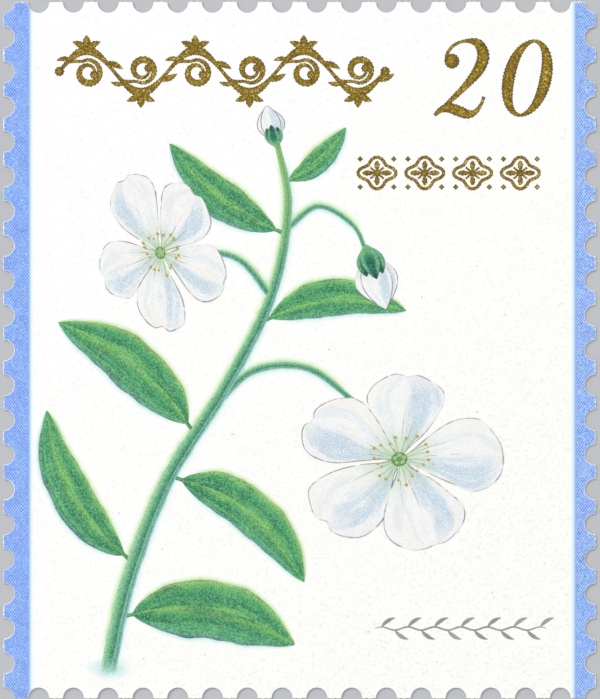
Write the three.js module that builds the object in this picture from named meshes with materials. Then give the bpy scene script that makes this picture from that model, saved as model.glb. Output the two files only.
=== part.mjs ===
// A gummed postage stamp, parted from its sheet along the rows of perforation holes.
// It lies face up on its gummed back. Millimetres, +Z up, +Y towards the top of the printed design,
// origin at the middle of the gummed back.
import * as THREE from "three";

// Driving dimensions
const HOLE_PITCH = 1.5; // hole centre to hole centre, gauge 13 1/3
const PITCHES_ACROSS = 17; // from corner hole to corner hole along the top and the bottom
const PITCHES_DOWN = 20; // from corner hole to corner hole down the two sides
const HOLE_DIAMETER = 0.9; // of the perforating pins
const SHEET_THICKNESS = 0.1; // paper, coating and gum together
const ARC_STEPS = 16; // straight pieces along each hole's share of the outline

// Sizes that follow from them
const HOLE_RADIUS = HOLE_DIAMETER / 2;
const SHEET_WIDTH = PITCHES_ACROSS * HOLE_PITCH;
const SHEET_HEIGHT = PITCHES_DOWN * HOLE_PITCH;

// Draws one hole's share of the outline: an arc round its centre that bites into the sheet.
function biteHole(outline, x, y, startAngle, turn) {
  outline.absarc(x, y, HOLE_RADIUS, startAngle, startAngle + turn, true);
}

// The outline runs anticlockwise round the sheet. Each side is a row of half holes with the teeth left
// standing between them, and each corner is a quarter of the hole that four stamps of the sheet share.
function perforatedOutline() {
  const outline = new THREE.Shape();
  const sides = [
    { corner: [-1, -1], along: [1, 0], pitches: PITCHES_ACROSS, heading: 0 },
    { corner: [1, -1], along: [0, 1], pitches: PITCHES_DOWN, heading: Math.PI / 2 },
    { corner: [1, 1], along: [-1, 0], pitches: PITCHES_ACROSS, heading: Math.PI },
    { corner: [-1, 1], along: [0, -1], pitches: PITCHES_DOWN, heading: -Math.PI / 2 },
  ];
  for (const { corner, along, pitches, heading } of sides) {
    const cornerX = (corner[0] * SHEET_WIDTH) / 2;
    const cornerY = (corner[1] * SHEET_HEIGHT) / 2;
    biteHole(outline, cornerX, cornerY, heading + Math.PI / 2, -Math.PI / 2);
    for (let hole = 1; hole < pitches; hole++) {
      const x = cornerX + along[0] * hole * HOLE_PITCH;
      const y = cornerY + along[1] * hole * HOLE_PITCH;
      biteHole(outline, x, y, heading + Math.PI, -Math.PI);
    }
  }
  outline.closePath();
  return outline;
}

// The whole stamp is one piece: paper with its printed coating above and its dried gum below.
function makeStampSheet() {
  const geometry = new THREE.ExtrudeGeometry(perforatedOutline(), {
    depth: SHEET_THICKNESS,
    bevelEnabled: false,
    curveSegments: ARC_STEPS / 2, // three.js gives an arc twice as many
  });
  const paper = new THREE.MeshStandardMaterial({
    color: new THREE.Color("#fdfdfa"),
    roughness: 0.6,
    metalness: 0,
  });
  const sheet = new THREE.Mesh(geometry, paper);
  sheet.name = "stamp_sheet";
  return sheet;
}

const stamp = new THREE.Group();
stamp.add(makeStampSheet());

export default stamp;
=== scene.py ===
"""The looks of a gummed, perforated postage stamp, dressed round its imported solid.

Sizes are millimetres on the stamp: x to the right and y up the printed design, both from the stamp's middle,
and z up from the surface that the stamp lies on. Meshes are made in metres, as the frame is.
"""

import logging
from collections.abc import Callable, Sequence
from dataclasses import dataclass
from enum import Enum
from math import atan2, ceil, cos, pi, radians, sin, sqrt, tau

import bpy
import numpy as np
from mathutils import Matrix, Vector
from mathutils.geometry import delaunay_2d_cdt


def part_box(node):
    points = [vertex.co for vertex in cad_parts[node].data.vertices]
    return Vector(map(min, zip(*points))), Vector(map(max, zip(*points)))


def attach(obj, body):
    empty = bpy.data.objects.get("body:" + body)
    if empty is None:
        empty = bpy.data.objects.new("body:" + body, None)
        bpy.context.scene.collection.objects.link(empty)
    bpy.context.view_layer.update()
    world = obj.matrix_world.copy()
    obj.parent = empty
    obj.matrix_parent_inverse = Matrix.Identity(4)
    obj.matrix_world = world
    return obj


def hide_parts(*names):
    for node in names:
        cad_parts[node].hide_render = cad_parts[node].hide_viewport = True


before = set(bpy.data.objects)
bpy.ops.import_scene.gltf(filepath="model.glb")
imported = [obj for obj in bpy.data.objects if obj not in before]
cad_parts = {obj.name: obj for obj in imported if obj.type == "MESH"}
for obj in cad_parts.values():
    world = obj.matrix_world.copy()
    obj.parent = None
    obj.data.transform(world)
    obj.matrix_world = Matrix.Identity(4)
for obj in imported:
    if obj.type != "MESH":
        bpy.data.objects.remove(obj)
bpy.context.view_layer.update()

LOG = logging.getLogger("stamp")

MM = 0.001
SHEET_NODE = "stamp_sheet"
BODY = "root"
PAINT = "paint"

SHEET_LOW, SHEET_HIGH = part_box(SHEET_NODE)
SHEET_WIDTH = (SHEET_HIGH.x - SHEET_LOW.x) / MM
SHEET_HEIGHT = (SHEET_HIGH.y - SHEET_LOW.y) / MM
SHEET_THICKNESS = (SHEET_HIGH.z - SHEET_LOW.z) / MM

INK_STEP = 0.002  # each printed layer stands this much above the one below
INK_SINK = 0.004  # and every film soaks this far into the paper
SCREEN_PITCH = 0.14  # of the cells that cut into the gold's edges
COCKLE_HEIGHT = 0.03  # how far the sheet stands up at most as it lies
HAIR = 0.05  # share of a layer between one figure and the next in the same film
HAIRS = 12  # figures that differ so before the count starts again
RELIEF_DEPTH = 0.004  # of the grain that every finish shows
PAPER_ALBEDO = 0.9  # what white paper gives back of the light on it
FOOT_WASH_MIDDLE = (-8.2, -13.7)  # of the pale wash round the foot of the twig
FOOT_WASH_HALF = (1.4, 0.8)
FRINGE_REACH = 0.25  # how far the plates' soft fringe reaches past the edge of a leaf or stem
FRINGE_LEVEL = 1.4  # ink layers that it stands above the paper

Socket = bpy.types.NodeSocket
Node = bpy.types.Node
Tree = bpy.types.NodeTree
Piece = bpy.types.Object
Material = bpy.types.Material
Feed = Socket | float | int | tuple | str | Material
Array = np.ndarray
Row = Sequence[float]
Change = Callable[[Array], Array]  # a function that takes places to others
Colour = tuple[int, int, int]  # as seen on white paper, 0 to 255


def linear(value: float) -> float:
    """Turns one channel of 0 to 255 from display to linear light."""
    share = value / 255
    return share / 12.92 if share <= 0.04045 else ((share + 0.055) / 1.055) ** 2.4


def ink(red: int, green: int, blue: int) -> tuple[float, ...]:
    """Turns a colour as seen on white paper, 0 to 255, into a shader colour under the studio light."""
    return tuple(PAPER_ALBEDO * linear(value) for value in (red, green, blue)) + (1.0,)


# Node trees


class Bench:
    """A node tree with short calls that add a node, feed its inputs and hand back an output."""

    def __init__(self, tree: Tree) -> None:
        """Takes the tree that the nodes go into."""
        self.tree = tree

    def feed(self, socket: Socket, value: Feed) -> None:
        """Feeds an input.

        Args:
            socket: the input.
            value: an output to link it to, or the input's own value.
        """
        if isinstance(value, Socket):
            self.tree.links.new(value, socket)
        else:
            socket.default_value = value

    def node(self, kind: str, feeds: dict | None = None, **settings: object) -> Node:
        """Adds a node.

        Args:
            kind: the node's Blender type name.
            feeds: input name or index to an output socket or a plain value.
            settings: the node's own properties.

        Returns:
            The new node.
        """
        made = self.tree.nodes.new(kind)
        count = len(self.tree.nodes)
        made.location = (200 * (count % 9), -240 * (count // 9))
        for name, value in settings.items():
            setattr(made, name, value)
        for key, value in (feeds or {}).items():
            self.feed(made.inputs[key], value)
        return made

    def out(self, kind: str, feeds: dict | None = None, **settings: object) -> Socket:
        """Adds a node, as node does, and returns its first output."""
        return self.node(kind, feeds, **settings).outputs[0]

    def math(self, operation: str, *values: Feed) -> Socket:
        """Adds a Math node and returns its value."""
        return self.out("ShaderNodeMath", dict(enumerate(values)), operation=operation)

    def times(self, first: Feed, second: Feed) -> Socket:
        """Returns the product of two values."""
        return self.math("MULTIPLY", first, second)

    def scaled(self, value: Feed, factor: Feed, offset: Feed) -> Socket:
        """Returns a value times a factor, plus an offset."""
        return self.math("MULTIPLY_ADD", value, factor, offset)

    def vector_math(self, operation: str, first: Feed, second: Feed) -> Socket:
        """Adds a Vector Math node and returns its vector."""
        return self.out("ShaderNodeVectorMath", {0: first, 1: second}, operation=operation)

    def split(self, vector: Feed) -> tuple[Socket, ...]:
        """Returns the three parts of a vector."""
        return tuple(self.node("ShaderNodeSeparateXYZ", {0: vector}).outputs)

    def join(self, x: Feed, y: Feed, z: Feed = 0.0) -> Socket:
        """Returns a vector of three values."""
        return self.out("ShaderNodeCombineXYZ", {0: x, 1: y, 2: z})

    def spread(self, value: Feed, low: float, high: float, to_low: float = 0.0, to_high: float = 1.0,
               soft: bool = True) -> Socket:
        """Maps a range of a value to another range, clamped.

        Args:
            value: the value.
            low: the value that gives to_low. It may be the larger one.
            high: the value that gives to_high.
            to_low: the result at low.
            to_high: the result at high.
            soft: whether the slope starts and ends softly.

        Returns:
            The result.
        """
        ends = {"From Min": low, "From Max": high, "To Min": to_low, "To Max": to_high}
        kind = "SMOOTHSTEP" if soft else "LINEAR"
        return self.out("ShaderNodeMapRange", {"Value": value, **ends}, interpolation_type=kind)

    def noise(self, vector: Feed, scale: Feed, detail: float = 2.0, rough: float = 0.5) -> Socket:
        """Returns a noise value of about 0 to 1."""
        feeds = {"Vector": vector, "Scale": scale, "Detail": detail, "Roughness": rough}
        return self.out("ShaderNodeTexNoise", feeds)

    def mix(self, share: Feed, first: Feed, second: Feed) -> Socket:
        """Blends two colours."""
        feeds = {0: share, 6: first, 7: second}
        return self.node("ShaderNodeMix", feeds, data_type="RGBA", clamp_factor=True).outputs[2]

    def laid(self, base: Socket, tint: Colour, mask: Feed, low: float, high: float,
             strength: float) -> Socket:
        """Lays a tint over a colour where a mask goes from low to high, up to a strength."""
        return self.mix(self.spread(mask, low, high, 0.0, strength), base, ink(*tint))

    def ramp(self, share: Feed, stops: Sequence[tuple[float, Colour]]) -> Socket:
        """Adds a colour ramp.

        Args:
            share: where on the ramp to read.
            stops: each a place from 0 to 1 and its colour.

        Returns:
            The colour there.
        """
        made = self.node("ShaderNodeValToRGB", {0: share})
        elements = made.color_ramp.elements
        while len(elements) < len(stops):
            elements.new(0.5)
        for element, (place, colour) in zip(elements, stops):
            element.position = place
            element.color = ink(*colour)
        return made.outputs[0]

    def use(self, group: Tree, feeds: dict) -> Node:
        """Places a shader node group with its own values."""
        return self.node("ShaderNodeGroup", feeds, node_tree=group)


SOCKET_KINDS = {
    float: "NodeSocketFloat",
    int: "NodeSocketInt",
    bool: "NodeSocketBool",
    tuple: "NodeSocketVector",
    "value": "NodeSocketFloat",
    "colour": "NodeSocketColor",
    "material": "NodeSocketMaterial",
    "geometry": "NodeSocketGeometry",
}


class Group(Bench):
    """A new node group, whose inputs are read by their names."""

    kind = ""  # Blender's type name of the tree
    common: dict[str, object] = {}  # the inputs that every group of the kind has

    def __init__(self, name: str, inputs: dict[str, object], outputs: dict[str, str]) -> None:
        """Makes the group and its sockets.

        Args:
            name: the group's name.
            inputs: input name to its default value, or to the kind of a socket without one.
            outputs: output name to socket kind.
        """
        super().__init__(bpy.data.node_groups.new(name, self.kind))
        sockets = self.tree.interface
        for label, default in {**self.common, **inputs}.items():
            bare = isinstance(default, str)
            kind = SOCKET_KINDS[default if bare else type(default)]
            socket = sockets.new_socket(name=label, in_out="INPUT", socket_type=kind)
            if not bare:
                socket.default_value = default
        for label, kind in outputs.items():
            sockets.new_socket(name=label, in_out="OUTPUT", socket_type=SOCKET_KINDS[kind])
        self.entry = self.node("NodeGroupInput")
        self.leave = self.node("NodeGroupOutput")

    def __getitem__(self, label: str) -> Socket:
        """Returns what comes in by an input."""
        return self.entry.outputs[label]

    def give(self, **outputs: Socket) -> Tree:
        """Feeds the group's outputs.

        Args:
            outputs: output name to what comes out there.

        Returns:
            The group's tree.
        """
        for label, value in outputs.items():
            self.feed(self.leave.inputs[label], value)
        return self.tree


class ShaderGroup(Group):
    """A shader node group that works on a place."""

    kind = "ShaderNodeTree"
    common = {"Vector": (0, 0, 0)}


class GrowthGroup(Group):
    """A geometry node group that makes many out of one and gives them a material."""

    kind = "GeometryNodeTree"
    common = {"Geometry": "geometry", "Material": "material"}

    def __init__(self, name: str, inputs: dict[str, object]) -> None:
        """Makes the group. Its one output is the grown geometry."""
        super().__init__(name, inputs, {"Geometry": "geometry"})

    def random(self, kind: str, feeds: dict) -> Socket:
        """Returns a random value for each place, either a FLOAT or a FLOAT_VECTOR."""
        return self.node("FunctionNodeRandomValue", feeds, data_type=kind).outputs["Value"]

    def realized(self, feeds: dict) -> Tree:
        """Ends the group: what it sets on its points becomes real faces with the material.

        Args:
            feeds: for the node that sets instances on points.

        Returns:
            The group's tree.
        """
        instances = self.out("GeometryNodeInstanceOnPoints", feeds)
        real = self.out("GeometryNodeRealizeInstances", {0: instances})
        feeds = {"Geometry": real, "Material": self["Material"]}
        return self.give(Geometry=self.out("GeometryNodeSetMaterial", feeds))


def screen_cells_group() -> Tree:
    """Builds the print screen: rows of small cells, every second row set off by half a pitch.

    Returns:
        The group.
    """
    sizes = {"Pitch Across": 0.118 * MM, "Pitch Along": 0.16 * MM, "Turn": 0.0}
    group = ShaderGroup("print_screen_cells", sizes, {"Cells": "value"})
    feeds = {"Vector": group["Vector"], "Angle": group["Turn"]}
    x, y, _ = group.split(group.out("ShaderNodeVectorRotate", feeds, rotation_type="Z_AXIS"))
    waves = []
    for place, pitch in ((x, group["Pitch Across"]), (y, group["Pitch Along"])):
        turns = group.math("DIVIDE", place, pitch)
        waves.append(group.math("COSINE", group.times(turns, tau)))
    return group.give(Cells=group.scaled(group.times(*waves), 0.5, 0.5))


def pencil_tooth_group() -> Tree:
    """Builds the tooth of drawing paper under a coloured pencil: fine grains, and short streaks.

    Returns:
        The group. Its streaks run along a form by its paint coordinates.
    """
    sizes = {"Paint": (0, 0, 0), "Grain": 1 / (0.05 * MM), "Streaks": 7.0}
    group = ShaderGroup("pencil_tooth", sizes, {"Tooth": "value", "Streak": "value"})
    fine = group.noise(group["Vector"], group["Grain"], 1.0, 0.6)
    along, across, tone = group.split(group["Paint"])
    stretched = group.join(group.times(along, 2.4), group.times(across, group["Streaks"]), tone)
    streak = group.noise(stretched, 1.0, 3.0, 0.6)
    return group.give(
        Tooth=group.spread(fine, 0.3, 0.7, soft=False), Streak=group.spread(streak, 0.3, 0.7, soft=False)
    )


def paper_relief_group() -> Tree:
    """Builds the coated paper's surface: a slow mottle, a fine grain and short stray flecks.

    Returns:
        The group.
    """
    sizes = {"Mottle Size": 1.1 * MM, "Grain Size": 0.06 * MM, "Fleck Size": 0.17 * MM}
    group = ShaderGroup("paper_relief", sizes, {"Mottle": "value", "Grain": "value", "Flecks": "value"})
    mottle, grain, fleck = (
        group.noise(group["Vector"], group.math("DIVIDE", 1.0, group[size]), 2.0, 0.55) for size in sizes
    )
    return group.give(Mottle=mottle, Grain=grain, Flecks=group.spread(fleck, 0.54, 0.72))


def bare_paper_group(relief: Tree, grains: Tree) -> Tree:
    """Builds the white of the bare paper, a little warmer and more flecked towards its lower right.

    Args:
        relief: the paper's surface group.
        grains: the group of the finest specks, for a few stray dark motes.

    Returns:
        The group.
    """
    group = ShaderGroup("bare_paper", {}, {"Color": "colour"})
    vector = {"Vector": group["Vector"]}
    x, y, _ = group.split(group["Vector"])
    slope = group.math("SUBTRACT", x, y)
    warm = group.spread(slope, -SHEET_HEIGHT / 2 * MM, SHEET_HEIGHT / 2 * MM)
    white = group.mix(warm, ink(255, 255, 255), ink(255, 255, 251))
    surface = group.use(relief, vector).outputs
    white = group.laid(white, (250, 250, 246), surface["Mottle"], 0.5, 0.75, 0.3)
    white = group.laid(white, (247, 247, 246), surface["Grain"], 0.5, 0.75, 0.35)
    flecked = group.spread(slope, 0.0, 18 * MM, 0.4, 0.74)
    white = group.mix(group.times(surface["Flecks"], flecked), white, ink(240, 242, 238))
    specks = group.spread(group.noise(group["Vector"], 1 / (0.085 * MM), 1.0), 0.56, 0.76)
    white = group.mix(group.times(specks, flecked), white, ink(237, 239, 235))
    motes = group.use(grains, {**vector, "Size": 0.08 * MM}).outputs["First"]
    return group.give(Color=group.laid(white, (196, 199, 198), motes, 0.9998, 0.9999, 0.6))


def washed_paper_group(bare: Tree) -> Tree:
    """Builds bare paper with the pale blue-green wash round the twig's foot, which runs out into the white.

    Args:
        bare: the bare paper's group.

    Returns:
        The group.
    """
    sizes = {
        "Middle": (FOOT_WASH_MIDDLE[0] * MM, FOOT_WASH_MIDDLE[1] * MM, 0),
        "Half Size": (FOOT_WASH_HALF[0] * MM, FOOT_WASH_HALF[1] * MM, 1),
        "Cloud Size": 0.45 * MM,
    }
    group = ShaderGroup("washed_paper", sizes, {"Color": "colour"})
    apart = group.vector_math("SUBTRACT", group["Vector"], group["Middle"])
    x, y, _ = group.split(group.vector_math("DIVIDE", apart, group["Half Size"]))
    outward = group.math("SQRT", group.scaled(x, x, group.times(y, y)))
    cloud = group.noise(group["Vector"], group.math("DIVIDE", 1.0, group["Cloud Size"]), 4.0, 0.65)
    reach = group.math("ADD", outward, group.scaled(cloud, 0.6, -0.3))
    stops = [(0.0, (172, 220, 206)), (0.4, (204, 236, 232)), (0.75, (230, 246, 247)), (1.0, (242, 251, 251))]
    tint = group.ramp(reach, stops)
    white = group.use(bare, {"Vector": group["Vector"]}).outputs["Color"]
    return group.give(Color=group.mix(group.spread(reach, 0.85, 0.15), white, tint))


def speckle_group() -> Tree:
    """Builds the finest specks of the print: small cells, each with two random values of its own.

    Returns:
        The group.
    """
    group = ShaderGroup("print_specks", {"Size": 0.045 * MM}, {"First": "value", "Second": "value"})
    feeds = {"Vector": group["Vector"], "Scale": group.math("DIVIDE", 1.0, group["Size"])}
    cells = group.node("ShaderNodeTexVoronoi", feeds, feature="F1")
    first, second, _ = group.split(cells.outputs["Color"])
    return group.give(First=first, Second=second)


class SharedEffects:
    """The shader groups that more than one finish uses."""

    def __init__(self) -> None:
        """Builds every group once."""
        self.relief, self.specks = paper_relief_group(), speckle_group()
        self.bare = bare_paper_group(self.relief, self.specks)
        self.washed = washed_paper_group(self.bare)
        self.screen, self.tooth = screen_cells_group(), pencil_tooth_group()


# Finishes


class Surface(Bench):
    """A material's node tree, with a short call for each shared effect over the surface."""

    def __init__(self, tree: Tree, effects: SharedEffects) -> None:
        """Reads the object coordinates and the piece's own paint coordinates.

        Args:
            tree: the material's node tree.
            effects: the shared shader groups.
        """
        super().__init__(tree)
        self.effects = effects
        self.place = self.node("ShaderNodeTexCoord").outputs["Object"]
        self.paint = self.node("ShaderNodeAttribute", attribute_name=PAINT).outputs["Vector"]

    def painted(self) -> tuple[Socket, ...]:
        """Returns the three paint coordinates."""
        return self.split(self.paint)

    def effect(self, group: Tree, feeds: dict | None = None) -> Sequence[Socket]:
        """Lays a shared effect over the surface and returns its outputs, which are read by name."""
        return self.use(group, {"Vector": self.place, **(feeds or {})}).outputs

    def cells(self, across: float = 0.118, along: float = 0.16, turn: float = 0.0) -> Socket:
        """Returns the print screen's cells at two pitches in millimetres, turned by radians."""
        feeds = {"Pitch Across": across * MM, "Pitch Along": along * MM, "Turn": turn}
        return self.effect(self.effects.screen, feeds)["Cells"]

    def tooth(self, streaks: float = 7.0) -> tuple[Socket, Socket]:
        """Returns the drawing paper's tooth, and so many of the pencil's streaks across a form."""
        outputs = self.effect(self.effects.tooth, {"Paint": self.paint, "Streaks": streaks})
        return outputs["Tooth"], outputs["Streak"]

    def relief(self, mottle: float = 1.1) -> tuple[Socket, Socket]:
        """Returns the paper's mottle, at a size in millimetres, and its grain."""
        outputs = self.effect(self.effects.relief, {"Mottle Size": mottle * MM})
        return outputs["Mottle"], outputs["Grain"]

    def specks(self, size: float = 0.045) -> tuple[Socket, Socket]:
        """Returns the two random values of the print's specks, at a size in millimetres."""
        outputs = self.effect(self.effects.specks, {"Size": size * MM})
        return outputs["First"], outputs["Second"]

    def bare(self) -> Socket:
        """Returns the white of the bare paper."""
        return self.effect(self.effects.bare)["Color"]

    def washed(self) -> Socket:
        """Returns the white of the paper with the wash round the twig's foot."""
        return self.effect(self.effects.washed)["Color"]

    def blotch(self, size: float, detail: float = 2.0) -> Socket:
        """Returns a soft random value that changes over a size in millimetres."""
        return self.noise(self.place, 1 / (size * MM), detail)


@dataclass(frozen=True)
class Finish:
    """What every finish on the stamp shares: a name, a gloss and the paper's own fine relief."""

    name: str
    roughness: float = 0.6
    specular: float = 0.3
    metallic: float = 0.0
    relief: float = 0.35  # strength of the bump
    play: float = 0.06  # how far the roughness strays

    def colour(self, on: Surface) -> Socket:
        """Works out the colour over the surface.

        Args:
            on: the surface.

        Returns:
            The colour.
        """
        raise NotImplementedError

    def material(self, effects: SharedEffects) -> Material:
        """Builds the material, with its Principled shader in the material itself.

        Args:
            effects: the shared shader groups.

        Returns:
            The material.
        """
        made = bpy.data.materials.new(self.name)
        made.use_nodes = True
        made.node_tree.nodes.clear()
        on = Surface(made.node_tree, effects)
        _, grain = on.relief()
        uneven = on.spread(grain, 0.3, 0.7, self.roughness - self.play, self.roughness + self.play)
        bump = {"Strength": self.relief, "Distance": RELIEF_DEPTH * MM, "Height": grain}
        shader = on.node("ShaderNodeBsdfPrincipled", {
            "Base Color": self.colour(on),
            "Metallic": self.metallic,
            "Specular IOR Level": self.specular,
            "Roughness": uneven,
            "Normal": on.out("ShaderNodeBump", bump),
        })
        leave = on.node("ShaderNodeOutputMaterial")
        on.feed(leave.inputs["Surface"], shader.outputs[0])
        return made


class PaperFinish(Finish):
    """White coated paper, creamier where it was torn."""

    def colour(self, on: Surface) -> Socket:
        """See Finish. Paint: how torn the edge is."""
        torn, _, _ = on.painted()
        return on.mix(on.times(torn, 0.5), on.bare(), ink(246, 245, 240))


class GumFinish(Finish):
    """Dried gum: a clear satin coat on cream paper, with the faint waffle that its rollers left."""

    def colour(self, on: Surface) -> Socket:
        """See Finish."""
        waffle = on.cells(0.9, 0.9, radians(45))
        mottle, _ = on.relief(4.0)
        cream = on.mix(mottle, ink(250, 249, 240), ink(242, 240, 226))
        return on.mix(on.spread(waffle, 0.35, 0.9, 0.0, 0.3), cream, ink(234, 231, 214))


@dataclass(frozen=True)
class BandInkFinish(Finish):
    """Pale blue ink of two screens, cyan and violet, that fades to white past its inner edge."""

    fade: float = 0.19  # how far the pale fringe reaches past the inner edge
    pale: Colour = (188, 215, 255)
    middle: Colour = (121, 170, 254)
    deep: Colour = (70, 118, 214)
    screen: float = 1.02  # strength of the cyan screen's cells
    specks: float = 0.42  # strength of the stray specks

    def colour(self, on: Surface) -> Socket:
        """See Finish. Paint: the distance from the inner edge in millimetres."""
        cyan, violet = on.cells(), on.cells(0.138, 0.19, 0.08)
        mottle, grain = on.relief(0.8)
        tone = on.scaled(mottle, 0.5, on.scaled(cyan, self.screen, -0.1))
        stops = [(0.0, self.pale), (0.5, self.middle), (1.0, self.deep)]
        blue = on.ramp(on.spread(tone, 0.15, 1.25, soft=False), stops)
        blue = on.laid(blue, (150, 150, 238), violet, 0.45, 1.0, 0.4)
        blue = on.laid(blue, (188, 214, 254), grain, 0.55, 0.75, 0.5)
        patch = on.blotch(0.7)
        blue = on.laid(blue, (152, 154, 246), patch, 0.5, 0.66, 0.18)
        blue = on.laid(blue, (132, 192, 252), patch, 0.5, 0.34, 0.18)
        first, second = on.specks(0.048)
        blue = on.laid(blue, (206, 240, 255), first, 0.7, 1.0, self.specks)
        blue = on.laid(blue, (76, 114, 188), second, 0.7, 1.0, self.specks)
        inward, _, _ = on.painted()
        inward = on.scaled(cyan, 0.07, on.math("SUBTRACT", inward, 0.035))
        rim = on.times(on.spread(inward, 0.1, 0.03), on.spread(cyan, 0.2, 0.7, 0.25, 0.8))
        blue = on.mix(rim, blue, ink(146, 176, 222))
        away = on.math("DIVIDE", inward, -self.fade)
        fringe = on.ramp(away, [
            (0.0, (166, 199, 241)), (0.25, (197, 226, 251)),
            (0.45, (218, 241, 254)), (0.7, (240, 251, 255)),
        ])
        fringe = on.mix(on.spread(away, 0.7, 1.05), fringe, on.bare())
        return on.mix(on.spread(inward, -0.03, 0.025), fringe, blue)


class GoldInkFinish(Finish):
    """Metallic gold ink: brown where it is thin at a stroke's edges, with fine bright flakes."""

    def colour(self, on: Surface) -> Socket:
        """See Finish. Paint: along a stroke, and across it from 0 to 1."""
        tone, hue = on.specks(0.047)
        slow = on.blotch(0.5)
        tone = on.scaled(slow, 0.4, on.scaled(tone, 0.9, -0.15))
        gold = on.ramp(tone, [
            (0.0, (84, 68, 14)), (0.3, (121, 98, 17)), (0.6, (148, 122, 25)),
            (0.84, (182, 152, 42)), (1.0, (242, 216, 126)),
        ])
        orange = on.times(on.math("GREATER_THAN", hue, 0.86), 0.55)
        gold = on.mix(orange, gold, ink(156, 104, 30))
        _, across, _ = on.painted()
        centre = on.math("ABSOLUTE", on.math("SUBTRACT", across, 0.5))
        return on.laid(gold, (90, 74, 38), centre, 0.2, 0.48, 0.8)


class LeafInkFinish(Finish):
    """Green ink like coloured pencil: two dark bands beside a light rib, yellow-green on the lit edge."""

    def colour(self, on: Surface) -> Socket:
        """See Finish. Paint: along the leaf, across it towards the light, and its tone."""
        along, across, _ = on.painted()
        outward = on.math("ABSOLUTE", across)
        tooth, streak = on.tooth()
        first, second = on.specks(0.048)
        sway = on.scaled(streak, 0.18, -0.09)
        inner = on.spread(outward, 0.7, 1.0, 1.0, 0.0)
        side = on.scaled(across, 0.5, on.scaled(sway, inner, 0.5))
        green = on.ramp(side, [
            (0.0, (126, 150, 190)), (0.03, (98, 160, 152)), (0.12, (100, 184, 128)),
            (0.28, (44, 142, 100)), (0.41, (76, 170, 102)), (0.5, (146, 204, 104)),
            (0.58, (88, 176, 104)), (0.72, (40, 138, 98)), (0.86, (82, 176, 110)),
            (0.95, (146, 206, 112)), (1.0, (206, 232, 142)),
        ])
        slow = on.scaled(streak, 0.4, on.times(on.blotch(0.9), 0.6))
        heavy = on.spread(along, 1.0, 0.1, 0.35, 0.75)
        green = on.mix(on.times(on.spread(slow, 0.46, 0.7), heavy), green, ink(10, 98, 82))
        light = on.spread(along, 0.3, 1.0, 0.3, 0.6)
        green = on.mix(on.times(on.spread(slow, 0.5, 0.24), light), green, ink(136, 202, 124))
        green = on.laid(green, (26, 104, 74), tooth, 0.5, 1.0, 0.5)
        green = on.laid(green, (146, 216, 148), tooth, 0.45, 0.0, 0.45)
        green = on.laid(green, (22, 92, 58), first, 0.55, 1.0, 0.55)
        green = on.laid(green, (164, 226, 158), second, 0.62, 1.0, 0.42)
        green = on.mix(on.times(on.cells(), 0.12), green, ink(44, 128, 92))
        pencil = on.mix(on.spread(across, -0.1, 0.1), ink(92, 102, 142), ink(150, 148, 84))
        line = on.times(on.spread(outward, 0.93, 0.98), on.spread(on.blotch(1.3), 0.44, 0.58))
        return on.mix(on.times(line, 0.6), green, pencil)


class CupInkFinish(Finish):
    """Green ink of a bud's cup: mint flanks, a dark teal middle and an almost black rim."""

    def colour(self, on: Surface) -> Socket:
        """See Finish. Paint: along the cup, across it towards the light, and its tone."""
        along, across, _ = on.painted()
        tooth, streak = on.tooth()
        first, second = on.specks(0.048)
        outward = on.math("ABSOLUTE", on.scaled(streak, 0.3, on.math("SUBTRACT", across, 0.2)))
        green = on.ramp(outward, [
            (0.0, (70, 156, 112)), (0.4, (92, 176, 126)),
            (0.72, (132, 202, 150)), (1.0, (96, 158, 132)),
        ])
        green = on.laid(green, (148, 204, 122), along, 0.34, 0.05, 0.7)
        depth = on.times(on.spread(outward, 0.8, 0.3), on.spread(along, 0.18, 0.5))
        green = on.mix(on.times(depth, 0.92), green, ink(8, 92, 80))
        green = on.laid(green, (4, 56, 66), along, 0.66, 0.97, 0.85)
        green = on.laid(green, (8, 84, 78), tooth, 0.5, 1.0, 0.55)
        green = on.laid(green, (128, 204, 160), tooth, 0.4, 0.0, 0.3)
        green = on.laid(green, (4, 62, 66), first, 0.55, 1.0, 0.5)
        return on.laid(green, (110, 190, 142), second, 0.7, 1.0, 0.35)


class StemInkFinish(Finish):
    """Green ink along a stem: pale on the lit side, a dark line down the middle and a cool far edge."""

    def colour(self, on: Surface) -> Socket:
        """See Finish. Paint: along the stem, across it towards the light, and its tone."""
        along, across, tone = on.painted()
        tooth, streak = on.tooth(2.2)
        first, second = on.specks()
        sway = on.scaled(streak, 0.12, -0.06)
        side = on.scaled(across, 0.5, on.math("ADD", sway, 0.5))
        green = on.ramp(side, [
            (0.0, (168, 204, 216)), (0.1, (126, 188, 186)), (0.19, (70, 144, 120)),
            (0.27, (134, 200, 172)), (0.38, (40, 116, 96)), (0.5, (66, 146, 108)),
            (0.66, (106, 180, 134)), (0.84, (138, 204, 156)), (1.0, (188, 226, 182)),
        ])
        green = on.laid(green, (40, 120, 94), tooth, 0.45, 1.0, 0.5)
        green = on.laid(green, (160, 216, 176), tooth, 0.4, 0.0, 0.4)
        green = on.laid(green, (24, 104, 92), first, 0.6, 1.0, 0.35)
        green = on.laid(green, (176, 224, 170), second, 0.65, 1.0, 0.3)
        young = on.times(on.spread(along, 0.7, 1.0, 0.0, 0.5), tone)
        green = on.mix(young, green, ink(158, 200, 98))
        rise = on.scaled(tooth, 0.012, on.scaled(streak, 0.014, along))
        foot = on.times(on.spread(rise, 0.042, 0.012), tone)
        return on.mix(foot, green, on.washed())


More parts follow.
